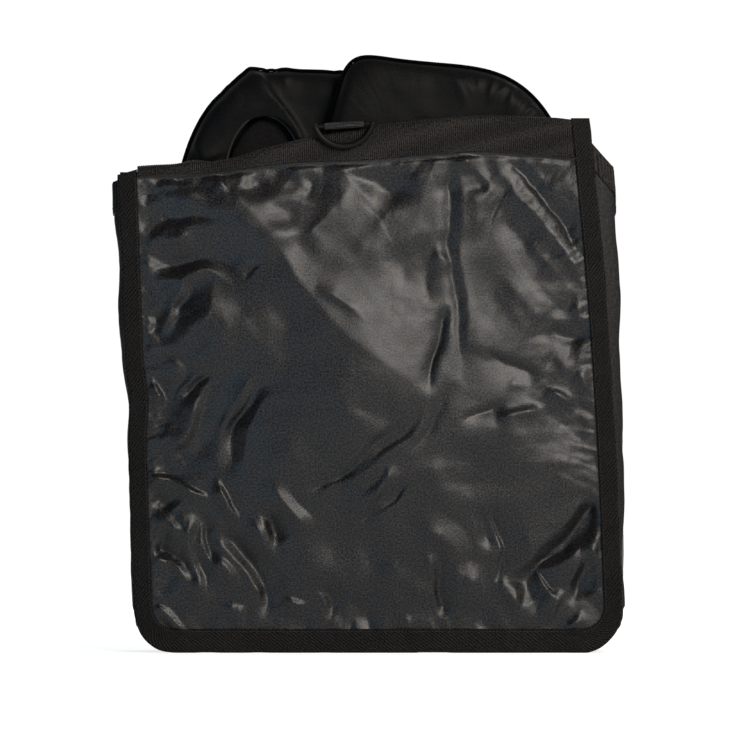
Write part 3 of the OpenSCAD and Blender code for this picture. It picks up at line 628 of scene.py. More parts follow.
# Each row is a fold of the front panel: its height (negative for a valley), the widths over which it
# falls away on the left and right of its crest line as the line runs, the bluntness of its crest, the
# percentages of the line over which it starts and ends, and then the line's points as x, z, x, z ...
FRONT_FOLDS = [
    # light wedge from the mouth down to the arc, with the dark dip beside it
    (3.5, 26, 12, 3, 30, 20,   -140, 474, -120, 450, -100, 425, -82, 398),
    (-4, 14, 12, 3, 30, 30,   -92, 462, -86, 440, -80, 415),
    (4.5, 9, 22, 2, 20, 30,   -76, 403, -57, 422, -35, 445, -20, 462, -6, 470),
    (-3.5, 8, 8, 2, 25, 25,   -64, 486, -60, 470, -66, 450),
    (4, 12, 10, 2, 25, 25,   -52, 489, -34, 487, -20, 474, -2, 450, 6, 430),
    (-5, 12, 16, 3, 25, 25,   -34, 484, -5, 474, 25, 458, 50, 452),
    # the upper middle, which leans back to the mouth
    (4, 30, 34, 6, 25, 25,   0, 455, 30, 425, 45, 390),
    # pleat down from the mouth
    (-4.5, 9, 4.5, 1.5, 10, 35,   77, 500, 78, 460, 80, 420, 84, 370, 88, 320, 95, 250),
    (2.5, 5, 20, 1.5, 10, 30,   87, 500, 88, 450, 92, 400, 97, 340, 102, 280),
    (-2.5, 8, 6, 2, 25, 25,   60, 398, 57, 372, 56, 345),
    (2.5, 5, 9, 1.5, 25, 25,   62, 399, 74, 396, 86, 386),
    # sweep of folds from the mouth to the right edge
    (-5, 13, 2.5, 1, 15, 20,   128, 500, 150, 480, 172, 455, 195, 420, 212, 388),
    (3, 14, 8, 2, 15, 25,   146, 502, 172, 470, 192, 440, 210, 405),
    (3.4, 5, 9, 1.5, 20, 20,   118, 500, 142, 464, 166, 438, 190, 406, 208, 375, 216, 350),
    (3.5, 6, 8, 1.5, 15, 30,   82, 502, 96, 490, 110, 474, 126, 456),
    (-3, 6, 8, 2, 25, 25,   92, 492, 106, 470, 112, 455),
    (-2.5, 12, 10, 3, 25, 25,   130, 440, 148, 420, 165, 395, 182, 370),
    (3, 10, 12, 3, 25, 25,   128, 385, 145, 365, 160, 345, 172, 330),
    (-2, 18, 18, 4, 25, 25,   105, 400, 125, 360, 150, 320),
    # right edge, above the middle
    (-5, 7, 9, 2, 20, 20,   180, 330, 188, 318, 204, 312, 216, 306),
    (3, 6, 6, 1.5, 25, 25,   196, 350, 206, 342, 214, 330),
    # short deep fold and its lit lip
    (-4, 3, 12, 0.8, 20, 20,   112, 306, 128, 296, 150, 287, 176, 276),
    (1.2, 5, 6, 1.5, 25, 25,   138, 276, 148, 270, 162, 270),
    (3.5, 5, 5, 1.2, 25, 25,   176, 266, 188, 257, 204, 246),
    (-2.6, 3, 9, 1.2, 30, 30,   86, 226, 104, 236, 124, 243, 148, 254),
    (3.5, 5, 9, 1.5, 25, 25,   124, 232, 150, 238, 178, 245),
    (3, 7, 7, 2, 25, 25,   205, 285, 214, 276, 222, 262),
    # long crease down the middle and the fan of creases that it opens into
    (-5, 3.5, 5, 1.2, 12, 35,   75, 352, 68, 325, 61, 290, 54, 248),
    (-2.2, 5, 7, 1.5, 25, 25,   54, 250, 36, 225, 12, 200, -12, 184),
    (-1.8, 5, 5, 1.2, 25, 25,   84, 272, 70, 252, 55, 222, 36, 200),
    (-2.2, 4, 6, 1.2, 25, 25,   36, 242, 8, 212, -16, 190, -42, 158),
    (-2, 5, 5, 1.2, 25, 25,   -10, 188, -36, 174, -64, 162),
    (-2.5, 4, 6, 1.2, 25, 25,   20, 178, 12, 160, -2, 142, -22, 132),
    (-2, 4, 5, 1.2, 25, 25,   42, 172, 28, 158, 6, 140),
    (1.8, 5, 5, 1.5, 25, 25,   30, 190, 10, 168, -10, 150),
    (-2.5, 4, 8, 1.5, 25, 25,   -100, 486, -84, 484, -70, 488),
    (3.2, 13, 4, 1.2, 20, 35,   -56, 367, -38, 356, -14, 340, 4, 326),
    (-1.8, 3, 5, 1, 25, 25,   -112, 390, -120, 381, -129, 373),
    # left: bands that cross the corner below the arc
    (-4.5, 12, 12, 3, 25, 25,   -222, 400, -205, 392, -185, 390, -160, 394, -140, 385, -122, 372),
    (-3, 8, 9, 2.5, 25, 25,   -222, 438, -200, 432, -175, 437, -150, 430),
    (2.6, 7, 7, 2, 25, 25,   -222, 418, -196, 414, -172, 420),
    (2, 12, 10, 3, 25, 25,   -150, 432, -128, 428, -104, 408, -92, 386),
    (3, 10, 12, 2.5, 25, 25,   -222, 365, -205, 376, -180, 380, -160, 372),
    (-4, 8, 8, 2, 25, 25,   -176, 388, -181, 362, -190, 335, -204, 308),
    (3, 14, 14, 4, 25, 25,   -165, 372, -172, 340, -184, 310),
    (-2.5, 5, 6, 1.5, 25, 25,   -218, 345, -212, 330, -216, 312),
    (2.5, 30, 30, 8, 25, 25,   -120, 350, -126, 310, -130, 270),
    # left: lit lip, dark wedge and the bright band beside it
    (4, 4, 6, 1.2, 25, 25,   -224, 274, -212, 257, -202, 246),
    (-4.5, 7, 8, 2, 25, 25,   -160, 288, -172, 268, -186, 244),
    (4, 9, 8, 2.5, 15, 20,   -158, 286, -170, 250, -186, 215, -204, 182),
    (-3.5, 12, 14, 4, 25, 25,   -132, 268, -148, 236, -166, 204, -186, 178),
    # curved dark fold left of the middle
    (-4.5, 5, 12, 1.5, 20, 25,   -88, 276, -104, 268, -124, 248, -136, 218, -141, 192, -139, 170),
    (2.6, 8, 8, 2, 25, 25,   -104, 272, -126, 252, -144, 225, -152, 205),
    # lit triangle at the left and the sliver beyond it
    (5, 5, 8, 1.5, 15, 25,   -224, 174, -206, 172, -186, 164, -160, 156),
    (4, 4, 4, 1.2, 25, 25,   -158, 178, -150, 160, -140, 145, -131, 132),
    (-3, 8, 8, 2, 25, 25,   -222, 156, -205, 150, -196, 140),
    # lower left: dark hollows between bright ridges
    (-5.5, 9, 9, 2, 15, 25,   -222, 112, -204, 102, -186, 90, -176, 62),
    (4.5, 7, 9, 2, 25, 20,   -178, 150, -180, 115, -176, 78, -172, 48),
    (-3, 4, 4, 1.5, 25, 25,   -170, 140, -160, 112, -152, 84),
    (-5.5, 8, 9, 2, 15, 20,   -156, 124, -136, 112, -118, 88, -103, 62, -104, 40, -112, 26),
    (2.8, 7, 7, 2, 25, 25,   -158, 100, -144, 84, -136, 62),
    (-4.5, 8, 7, 2, 25, 25,   -110, 146, -100, 128, -84, 108),
    (3.6, 12, 9, 3, 25, 25,   -100, 178, -88, 152, -70, 130, -52, 120),
    (3.2, 9, 7, 2, 25, 25,   -124, 140, -106, 112, -92, 88),
    (2.2, 5, 5, 1.2, 25, 25,   -88, 56, -74, 50, -62, 44),
    (-3.2, 6, 6, 2, 25, 25,   -52, 72, -42, 56, -40, 40, -48, 28),
    (4.5, 4, 7, 1.2, 15, 10,   -226, 56, -208, 44, -194, 30, -186, 14),
    (-4.5, 4, 5, 1.2, 25, 25,   -222, 42, -206, 30, -194, 18),
    # lower middle: arch, with the hollow that it falls to
    (3.2, 22, 9, 3, 25, 25,   36, 128, 58, 124, 74, 110, 80, 88, 76, 62),
    (-3.8, 6, 7, 2, 25, 10,   56, 110, 70, 92, 72, 66, 78, 36),
    (-3, 18, 26, 8, 25, 25,   -60, 118, -20, 108, 24, 112),
    # lower right: long thin crease, wide dark diagonal and the crumpled corner
    (-2.6, 10, 2.6, 1, 20, 20,   118, 156, 126, 126, 130, 92, 132, 60),
    (-3, 8, 8, 2, 25, 25,   110, 150, 112, 128, 118, 96),
    (-6.5, 11, 12, 3, 10, 15,   230, 156, 204, 126, 176, 96, 152, 66, 138, 52),
    (4.5, 8, 9, 2, 25, 25,   222, 120, 200, 98, 176, 84, 156, 76),
    (3, 3.5, 4.5, 1, 25, 25,   160, 82, 172, 66, 190, 54),
    (3, 7, 7, 2, 25, 25,   150, 72, 144, 56, 136, 48),
    (-5, 8, 8, 2, 25, 25,   226, 104, 216, 88, 206, 62, 212, 44),
    (3.5, 4, 5, 1.2, 25, 25,   234, 128, 226, 108, 222, 90),
    (3, 5, 6, 1.5, 25, 25,   196, 64, 186, 46, 180, 30),
    (3, 4, 4, 1.2, 25, 25,   216, 40, 204, 28, 196, 22),
    (2.4, 8, 8, 2, 25, 25,   182, 300, 200, 292, 220, 296),
    # small fold in the upper right
    (-1.8, 2.4, 7, 0.9, 15, 40,   142, 476, 130, 448, 118, 422, 112, 408),
    # soft swells of the middle
    (2.6, 26, 34, 8, 25, 25,   -170, 360, -150, 320, -140, 280),
    (-2.4, 24, 20, 6, 25, 25,   -96, 372, -84, 330, -70, 290, -50, 255),
    (2.2, 18, 26, 6, 25, 25,   -40, 300, -30, 262, -8, 232, 20, 215),
    (-1.6, 14, 14, 4, 25, 25,   -20, 250, 8, 238, 34, 240),
    (2.6, 26, 30, 8, 25, 25,   150, 240, 140, 205, 142, 170),
    (2.4, 16, 18, 5, 25, 25,   196, 215, 190, 180, 200, 150),
    (-2, 18, 16, 5, 25, 25,   100, 215, 96, 180, 104, 150),
    (2, 12, 16, 4, 25, 25,   60, 205, 72, 170, 92, 140),
    (2.2, 16, 14, 5, 25, 25,   -30, 160, 0, 150, 34, 152),
    (2.6, 20, 18, 6, 25, 25,   -80, 100, -50, 84, -16, 80, 20, 84),
    (2.4, 14, 14, 4, 25, 25,   0, 60, 24, 72, 46, 64, 60, 44),
    (-2.2, 10, 10, 3, 25, 25,   -20, 56, -8, 40, 10, 30),
    (2.4, 12, 12, 3, 25, 25,   98, 92, 104, 66, 100, 40),
    (2.4, 6, 8, 2, 25, 25,   -130, 48, -134, 34, -142, 26),
    (1.8, 6, 6, 1.5, 25, 25,   30, 40, 34, 30, 30, 24),
    (1.8, 16, 16, 5, 25, 25,   -60, 210, -84, 190, -110, 184),
    (2.4, 9, 9, 3, 25, 25,   -200, 300, -196, 280, -204, 262),
    (2, 9, 9, 3, 25, 25,   -214, 232, -196, 220, -184, 200),
    (2.6, 8, 9, 2, 25, 25,   -214, 142, -196, 128, -190, 108),
    # upper right, small facets
    (2.4, 9, 9, 3, 25, 25,   96, 470, 104, 440, 100, 410),
    (2.2, 8, 8, 2, 25, 25,   156, 420, 170, 396, 190, 372),
    (-1.8, 12, 12, 4, 25, 25,   20, 400, 34, 380, 30, 356),
    (2, 12, 12, 4, 25, 25,   100, 345, 110, 320, 104, 296),
    (1.8, 14, 12, 4, 25, 25,   -30, 420, 0, 404, 26, 400),
    # just under the hem
    (3, 4, 5, 1.2, 10, 30,   -160, 482, -148, 470, -136, 459),
    (-2.6, 5, 7, 1.5, 25, 25,   -222, 470, -205, 476, -186, 474, -172, 478),
    (-3, 6, 9, 2, 25, 25,   -134, 456, -118, 466, -100, 482),
]

PANEL_DOME = 20.0
DOME_START = 36.0
DOME_LEFT, DOME_RIGHT, DOME_BASE, DOME_TOP = 170.0, 230.0, 230.0, 230.0
HEM_OUT = 2.0
# Crest of the long fold where the cloth turns from facing down and left to facing up and right
LONG_FOLD = [(-222, 470), (-180, 458), (-140, 443), (-114, 424), (-88, 400), (-72, 374), (-55, 353), (-28, 323),
             (12, 293), (60, 258), (110, 225)]
LONG_FOLD_H, LONG_FOLD_END = 10.0, 110.0
LONG_FOLD_ABOVE, LONG_FOLD_BELOW = 62.0, 70.0
# The hem: its gap to the bindings, how far below its edge the cloth meets it, and the dent there
HEM_GAP, HEM_TUCK, HEM_GROOVE = 0.3, 2.5, 1.6
PANEL_W, PANEL_TALL = 505, 480     # for the number of rows and columns


def edge_distance(x, z):
    """Distance in from the bound edge of a panel."""
    side = np.minimum(np.minimum(x - edge_l(z), edge_r(z) - x), z)
    in_l = (z < CORNER_R) & (x < CENTRE_L[0])
    in_r = (z < CORNER_R) & (x > CENTRE_R[0])
    side = np.where(in_l, CORNER_R - np.hypot(x - CENTRE_L[0], z - CORNER_R), side)
    return np.where(in_r, CORNER_R - np.hypot(x - CENTRE_R[0], z - CORNER_R), side)


def dome(x, z):
    """How far a filled panel stands out of its seam plane, without its folds."""
    def lift(distance, reach):
        return np.sin(np.pi / 2 * np.clip((distance - DOME_START) / reach, 0, 1))

    full = lift(x - edge_l(z), DOME_LEFT) * lift(edge_r(z) - x, DOME_RIGHT) * lift(z, DOME_BASE)
    return lerp(PANEL_DOME, HEM_OUT, smooth((z - LOW_H + DOME_TOP) / DOME_TOP)) * full


def long_fold(x, z):
    """The front panel's long fold, which is steeper above its crest than below it."""
    off = 0.75 * (z - through(x, LONG_FOLD))
    width = np.where(off > 0, LONG_FOLD_ABOVE, LONG_FOLD_BELOW)
    crest = np.exp(-((np.sqrt(off**2 + 3.0) / width) ** SOFT_POWER))
    return (LONG_FOLD_H * crest * smooth((LONG_FOLD_END - x) / 130)
            * smooth((edge_distance(x, z) - DOME_START) / 40) * smooth((hem_z(x) - z) / 40))


def row_end(z, centre, edge, sign):
    """Where a row of the panel ends, at the plies' edge inside the binding."""
    low = np.clip(z, 0, CORNER_R)
    arc = centre[0] + sign * np.sqrt(np.maximum((CORNER_R - PLY_IN) ** 2 - (CORNER_R - low) ** 2, 0))
    return np.where(z >= CORNER_R, edge(z) - sign * PLY_IN, arc)


def hem_ends(z):
    """Where the hem ends, a hair beside the two side bindings."""
    return np.full(np.shape(z), SEAM_L + HEM_GAP), edge_r(np.minimum(z, HIGH_H)) - BIND_W - HEM_GAP


PUCKER_H = 1.3


def puckers(x, z, seed):
    """Short wrinkles that run in from the sewn edges."""
    inset = edge_distance(x, z)
    around = np.arctan2(z - 260, x) * 260
    rough = noise(around, inset * 0.12, 7.5, seed) + 0.6 * noise(around, inset * 0.15, 4.0, seed + 1)
    reach = 16 + 12 * noise(around, around * 0, 30.0, seed + 2)
    return PUCKER_H * rough * np.exp(-np.clip(inset - BIND_W, 0, None) / reach)


# Shares of a facet's width that face away from the light, for creases that lean one way or the other
SHADED_SHARES = (0.68, 0.32)


def facets(x, z, size, seed):
    """Flat facets of about that size that meet in creases, from -1 to 1."""
    rng = np.random.default_rng(seed)
    total = np.zeros(np.shape(x))
    for k in range(6):
        angle, shift = rng.uniform(0, np.pi), rng.uniform(0, 1)
        dx, dz = math.cos(angle), math.sin(angle)
        across = x * dx + z * dz + 0.3 * size * noise(x, z, 2.2 * size, seed + 10 + k)
        phase = (across / size + shift) % 1
        shaded = SHADED_SHARES[0 if dx + dz > 0 else 1]
        crease = 2 * np.minimum(phase / shaded, (1 - phase) / (1 - shaded)) - 1
        total = total + crease * smooth(0.3 + 1.5 * noise(x, z, 2.4 * size, seed + 20 + k))
    return total / 2


def crumple(x, z, seed):
    """Low relief of handled nylon: deeper near the sewn edges, where it was crushed most."""
    inset = np.minimum(edge_distance(x, z), 1.8 * (hem_z(x) - z))
    handled = 0.2 + 0.8 * smooth((110 - inset + 45 * noise(x, z, 60.0, seed + 6)) / 80)
    return (0.8 * noise(x + 0.4 * z, z - 0.3 * x, 60.0, seed)
            + handled * (1.7 * facets(x, z, 56.0, seed + 30) + 0.85 * facets(x, z, 28.0, seed + 60))
            + 0.24 * handled**2 * facets(x, z, 13.0, seed + 90))


def hem_pull(x, z, seed):
    """Small scallops that hang from the hem's seam."""
    below = np.clip(hem_z(x) - z, 0, None)
    return 1.5 * noise(x, below * 0.1, 15.0, seed) * np.exp(-below / 14.0)


def panel_surface(x, z, folds, seed):
    """How far the panel's cloth stands out of its seam plane."""
    inset = edge_distance(x, z)
    free = smooth((inset - BIND_W + 1) / 12.0) * smooth((hem_z(x) - z + 1) / 10.0)
    under = smooth((inset - BIND_W + 3) / 7.0)
    shape = depth_of(x, z) * fold_all(x, z, folds) + crumple(x, z, seed) + hem_pull(x, z, seed + 5)
    if folds is FRONT_FOLDS:
        shape = shape + long_fold(x, z)
    groove = HEM_GROOVE * hump(z, hem_z(x) - HEM_TUCK, 3.0) * smooth((inset - BIND_W) / 6)
    return dome(x, z) - groove + free * shape + under * puckers(x, z, seed + 9) * np.clip(inset / 19, 0, 1)


def add_panel(name, folds, seed, face, step):
    """A panel from its base to the rolled end of its hem. face is -1 at the front and 1 at the back."""
    u = np.linspace(0, 1, int(round(PANEL_W / step)))
    seam = hem_z(lerp(SEAM_L, SEAM_R, u))
    corner = CORNER_R - (CORNER_R - PLY_IN) * np.cos(np.linspace(0, np.pi / 2, 14)[:-1, None])
    upward = np.linspace(0, 1, int(round(PANEL_TALL / step)))[:, None]
    z = np.concatenate([corner + 0 * u, lerp(CORNER_R, seam - HEM_TUCK, upward)])
    x = lerp(row_end(z, CENTRE_L, edge_l, -1), row_end(z, CENTRE_R, edge_r, 1), u)
    body = np.stack([x, PLY_Y + panel_surface(x, z, folds, seed), z], -1)

    v = np.linspace(0, HEM_W, int(round(HEM_W / step)) + 4)[:, None]
    left, right = hem_ends(seam + v)
    hem_x = lerp(left, right, u)
    inward, rise, _, _ = hem_path(hem_x, v)
    hem = np.stack([hem_x, HEM_Y - inward, hem_z(hem_x) + rise], -1)
    points = np.concatenate([body, hem])
    points[..., 1] *= face
    uv = np.stack([points[..., 0] + UV_SHIFT, np.concatenate([z, hem_z(hem_x) + v])], -1)
    if face > 0:
        points, uv = points[:, ::-1], uv[:, ::-1]
    half = normals_of(points) * CLOTH_T / 2
    return thick_sheet(name, points + half, points - half, uv)


# ---- Bindings, hem tapes and stitches ----

def fold_section(width, half):
    """Section of the folded tape, from its outer leaf's inner edge to its inner leaf's, as (out, inwards)."""
    arc = np.linspace(-np.pi / 2, np.pi / 2, 9)
    flat = np.linspace(0, width - half, 9)[:-1]
    back = np.linspace(width - half, 1.0, 7)[1:]
    s = np.concatenate([flat, width - half + half * 0.92 * np.cos(arc), back])
    t = np.concatenate([0 * flat, half + half * np.sin(arc), 0 * back + 2 * half])
    return np.stack([s, t], -1)


TOP_SLOPE, TOP_RUN = 2.8, 30     # rise of the left binding's top end towards the hem, and over what length


def add_binding(name, face, seed, panel):
    """Tape folded over the bound edge, with its stitches. panel is the folds and seed of the cloth under it."""
    q, length = even_steps(2.4)
    out = edge_dir(q)
    width = bind_at(q)[:, None]
    half = (LEAF_Y - INNER_LEAF_Y) / 2
    sections = np.array([fold_section(w, half) for w in bind_at(q)])
    s, t = sections[..., 0], sections[..., 1]
    run = np.linspace(0, length, len(q))[:, None]
    wobble = 1.1 * noise(run, 0 * run, 46.0, seed) + 0.6 * noise(run, s * 0.4, 17.0, seed + 1)
    ruck = 0.3 * noise(run, s * 0.3, 5.5, seed + 2) + 0.5 * noise(run, s * 0.5, 13.0, seed + 3)
    origin = edge_point(q) - out * width
    x, z = (origin[:, None, k] + out[:, None, k] * (s + wobble * (s / width)) for k in (0, 1))
    z = np.maximum(z, TAPE_T / 2) + 2 * TOP_SLOPE * smooth(1 - run / TOP_RUN) * (0.5 - s / width)
    cloth_rise = np.clip(panel_surface(x, z, *panel), -0.4, 3.0) * np.clip(1 - s / 9.0, 0, 1)
    outer_leaf = np.clip(1 - t / (2 * half), 0, 1)
    points = np.stack([x, LEAF_Y - t + outer_leaf * (0.35 + ruck + cloth_rise), z], -1)
    across = np.linalg.norm(np.diff(sections, axis=1, prepend=sections[:, :1]), axis=-1)
    uv = np.stack([np.broadcast_to(run, s.shape), np.cumsum(across, 1)], -1)
    points[..., 1] *= face
    if face > 0:
        points, uv = points[::-1], uv[::-1]
    n = normals_of(points)
    tape = thick_sheet(name, points + n * TAPE_T / 2, points - n * TAPE_T / 2, uv)
    return tape, [stitch_row(name + "_stitches", points[:, 1], n[:, 1], TAPE_T / 2 + 0.1)]


RIB_PITCH, RIB_H, PER_RIB = 2.1, 0.32, 6
RIB_UNDER = 0.75     # height of the tape's underside over the hem


def add_hem_tape(name, face, seed):
    """Ribbed tape along the hem, with its stitches; its ribs run up and down."""
    cols, rows = int((SEAM_R - SEAM_L) / RIB_PITCH) * PER_RIB + 1, 26
    u = np.linspace(0, 1, cols)
    v = np.linspace(0, HEM_W, rows)[:, None]
    left, right = hem_ends(hem_z(lerp(SEAM_L, SEAM_R, u)) + v)
    x = lerp(left, right, u)
    ripple = 0.9 * noise(x, v * 0.5, 44.0, seed) + 0.35 * noise(x, v, 17.0, seed + 1)
    slack = ripple * smooth(u / 0.04) * smooth((1 - u) / 0.04) * smooth(v / 6)
    y, z, face_y, face_z = hem_path(x, v)
    rib = RIB_H * np.cos(2 * np.pi * np.arange(cols) / PER_RIB)
    edge = smooth(v / 2.2) * smooth((HEM_W - v) / 2.2)

    def lifted(lift):
        d = lift + slack
        return np.stack([x, face * (HEM_Y - y - d * face_y), hem_z(x) + z + d * face_z], -1)

    outer, inner = lifted(RIB_UNDER + TAPE_T + rib * edge), lifted(RIB_UNDER)
    uv = np.stack([x + UV_SHIFT, np.broadcast_to(v, x.shape)], -1)
    tape = thick_sheet(name, outer, inner, uv, flip=face > 0)
    if face > 0:
        outer = outer[:, ::-1]
    n = normals_of(outer)
    threads = []
    for k, at in enumerate((5.0, HEM_W - 4.0)):
        row = int(round(at / HEM_W * (rows - 1)))
        threads.append(stitch_row(f"{name}_stitches_{k}", outer[row, ::PER_RIB], n[row, ::PER_RIB], 0.12))
    return tape, threads


# ---- Gusset ----

# How far the gusset's side wall stands out past the bound edge, by height
BULGE_L = [(0, 0), (60, 0.5), (150, 0.5), (230, 1.0), (300, 3.0), (360, 4.0), (420, 4.0), (481, 3.5)]
BULGE_R = [(0, 0), (50, 1.5), (93, 3.2), (133, 4.7), (200, 6.0), (253, 8.0), (290, 9.0), (313, 10.5),
           (345, 13.5), (383, 15.0), (424, 14.5), (464, 16.0), (535, 16.0)]
WALL_Y = 40.5
SAG_L, SAG_R = 14.0, 72.0
GUSSET_SEED = 31


def across_gusset(margin, count):
    """Values from near -1 to near 1 across the gusset, closer together at its sides."""
    return -np.cos(np.linspace(margin, np.pi - margin, count))


def gusset_grid(q, depth):
    """Points of the gusset's wall, with its wrinkles, for values of q down the rows and depth across."""
    q, depth, seed = q[:, None], depth[None], GUSSET_SEED
    drop = np.sin(np.arccos(-depth)) ** 0.6
    share = np.minimum(1, 1.5 * drop)
    q, drop = np.broadcast_arrays(q, drop)
    p = edge_point(q, LOW_H - SAG_L * drop, HIGH_H - SAG_R * drop)
    side = np.where(q < 1, through(p[..., 1], BULGE_L), np.where(q > 4, through(p[..., 1], BULGE_R), 0))
    width = bind_at(q)
    run, y = q * 260, WALL_Y * depth
    soft = (1.6 * noise(run, y * 0.7, 34.0, seed) + 0.9 * noise(run + y, y - run * 0.2, 15.0, seed + 1)
            + 0.25 * noise(run, y, 5.0, seed + 2))
    base = smooth((q - 1.6) / 0.4) * smooth((3.4 - q) / 0.4)
    soft = np.where(soft > 0, soft * (1 - base), soft) * share * (1 - 0.75 * base)
    reach = (width - CLOTH_T / 2 + side) * share + soft - width
    p = p + edge_dir(q) * reach[..., None]
    z = np.where(base > 0.5, np.maximum(p[..., 1], CLOTH_T / 2), p[..., 1])
    return np.stack([p[..., 0], np.broadcast_to(y, z.shape), z], -1)


def add_gusset(name):
    """The bag's sides and base, with a seam allowance along each panel."""
    q, _ = even_steps(3.2)
    out, p, width = edge_dir(q), edge_point(q), bind_at(q)[:, None]

    def allowance(y, reach):
        pos = p - out * reach
        return np.stack([pos[:, 0], np.full(len(q), y), pos[:, 1]], -1)[:, None]

    seam = [(GUSSET_PLY_Y, PLY_IN), (GUSSET_PLY_Y, lerp(PLY_IN, width, 0.5)), (GUSSET_PLY_Y, width),
            (WALL_Y + 1, width)]
    points = np.concatenate([allowance(-y, reach) for y, reach in seam]
                            + [gusset_grid(q, across_gusset(0.06, 44))]
                            + [allowance(y, reach) for y, reach in seam[::-1]], 1)
    half = normals_of(points) * CLOTH_T / 2
    uv = grid_of(run_along(p), np.linspace(0, 120, points.shape[1]))
    return thick_sheet(name, points - half, points + half, uv)


GUSSET_HEM_W, GUSSET_RIB_H = 30.0, 0.22


def add_gusset_hem(name, right):
    """Tape along the gusset's top edge, with its stitches."""
    drops = np.linspace(0, GUSSET_HEM_W, 14)
    q = 5 - drops / (HIGH_H - CORNER_R) if right else drops / (LOW_H - CORNER_R)
    base = gusset_grid(q, across_gusset(0.16, 120))
    cols = base.shape[1]
    n = normals_of(base)
    if (n[..., 0].mean() > 0) != right:
        n = -n
    rib = GUSSET_RIB_H * np.cos(2 * np.pi * np.arange(cols) / 4)[:, None]
    inner, outer = base + n * 0.6, base + n * (0.6 + TAPE_T + rib)
    uv = grid_of(drops, np.linspace(0, 90, cols))[..., ::-1]
    tape = thick_sheet(name, outer, inner, uv, flip=right)
    line, out = outer[11], n[11]
    if right:
        line, out = line[::-1], out[::-1]
    return tape, [stitch_row(name + "_stitches", line, out, 0.15)]


# ---- Folded goals ----

class Goal:
    """Outline of one folded goal. corner is where its cloth stands out: angle, half width as an angle, x, z."""

    def __init__(self, name, side, height, lobe_w, shift, slope, corner, ripple=0.0):
        self.name = name
        self.y = -side * GOAL_Y
        self.high = BASE_CLEAR + height - PIPING_OUT - PIPING_R
        self.lobe_w = lobe_w
        self.shift = shift
        self.slope = math.tan(math.radians(slope))
        self.corner = corner
        self.ripple = ripple

    def middle(self, up):
        """Middle of the fold in x and z, raised by up."""
        return np.array([self.shift * 0.6, (RIM_LOW + self.high) / 2 + up])


LEFT = Goal("left_goal", -1, 585.5, 286, -60, 1.5, (106, 7, 0, 7), 1.7)
RIGHT = Goal("right_goal", 1, 589.5, 283, 75, 4, (116, 14, -9.5, 19))


def rim(goal, a):
    """Even rim of a folded goal at an angle in degrees, as (x, z)."""
    a = np.asarray(a, float)
    s, c = (np.sign(v) * np.abs(v) ** (2 / 3) for v in (np.sin(np.radians(a)), np.cos(np.radians(a))))
    z = lerp(RIM_LOW, goal.high, (1 + s) / 2)
    lobe = smooth((z - 150) / 370)
    x = lerp(FOLD_W, goal.lobe_w, lobe) / 2 * c
    return np.stack([goal.shift * lobe + x, z - goal.slope * x * lobe], -1)


def rim_out(goal, a):
    """Direction out of the rim."""
    t = unit(rim(goal, np.asarray(a) + 1.5) - rim(goal, np.asarray(a) - 1.5))
    return np.stack([t[..., 1], -t[..., 0]], -1)


def inset(goal, a, d):
    """Points at a distance d in from the rim, with the cloth's ripples and slack corner."""
    at, width, dx, dz = goal.corner
    a, d = np.asarray(a, float), np.asarray(d, float)
    corner = hump(a % 360, at, width)[..., None] * np.array([dx, dz])
    ripple = goal.ripple * (noise(a * 2.4, 0 * a, 7.0, 47) + 0.6 * noise(a * 2.4, 0 * a, 3.6, 48))
    d = d - ripple * hump(a % 360, 95, 22) * np.clip(1 - d / 12, 0, 1)
    return rim(goal, a) - d[..., None] * rim_out(goal, a) + corner * np.clip(1 - d / RIM_ROUND, 0, 1)[..., None]


TOP_SHARE = 0.62     # share of the rim's points that lie on its upper half


def rim_angles(count):
    """Angles round the rim, closer together round the top lobe."""
    top = np.linspace(0, 180, int(count * TOP_SHARE), endpoint=False)
    return np.concatenate([top, np.linspace(180, 360, count - len(top), endpoint=False)])


def rings_to(goal, a, steps, target, shares):
    """Rings of (x, z) at steps in from the rim, and then at shares of the way on to a target."""
    rings = [inset(goal, a, np.full(len(a), d)) for d in steps]
    return np.stack(rings + [lerp(rings[-1], target, s) for s in shares])


# Opening of the left goal's front skin: middle x and z, half width, half height
HOLE = (-106.5, 480.0, 37.5, 58.0)

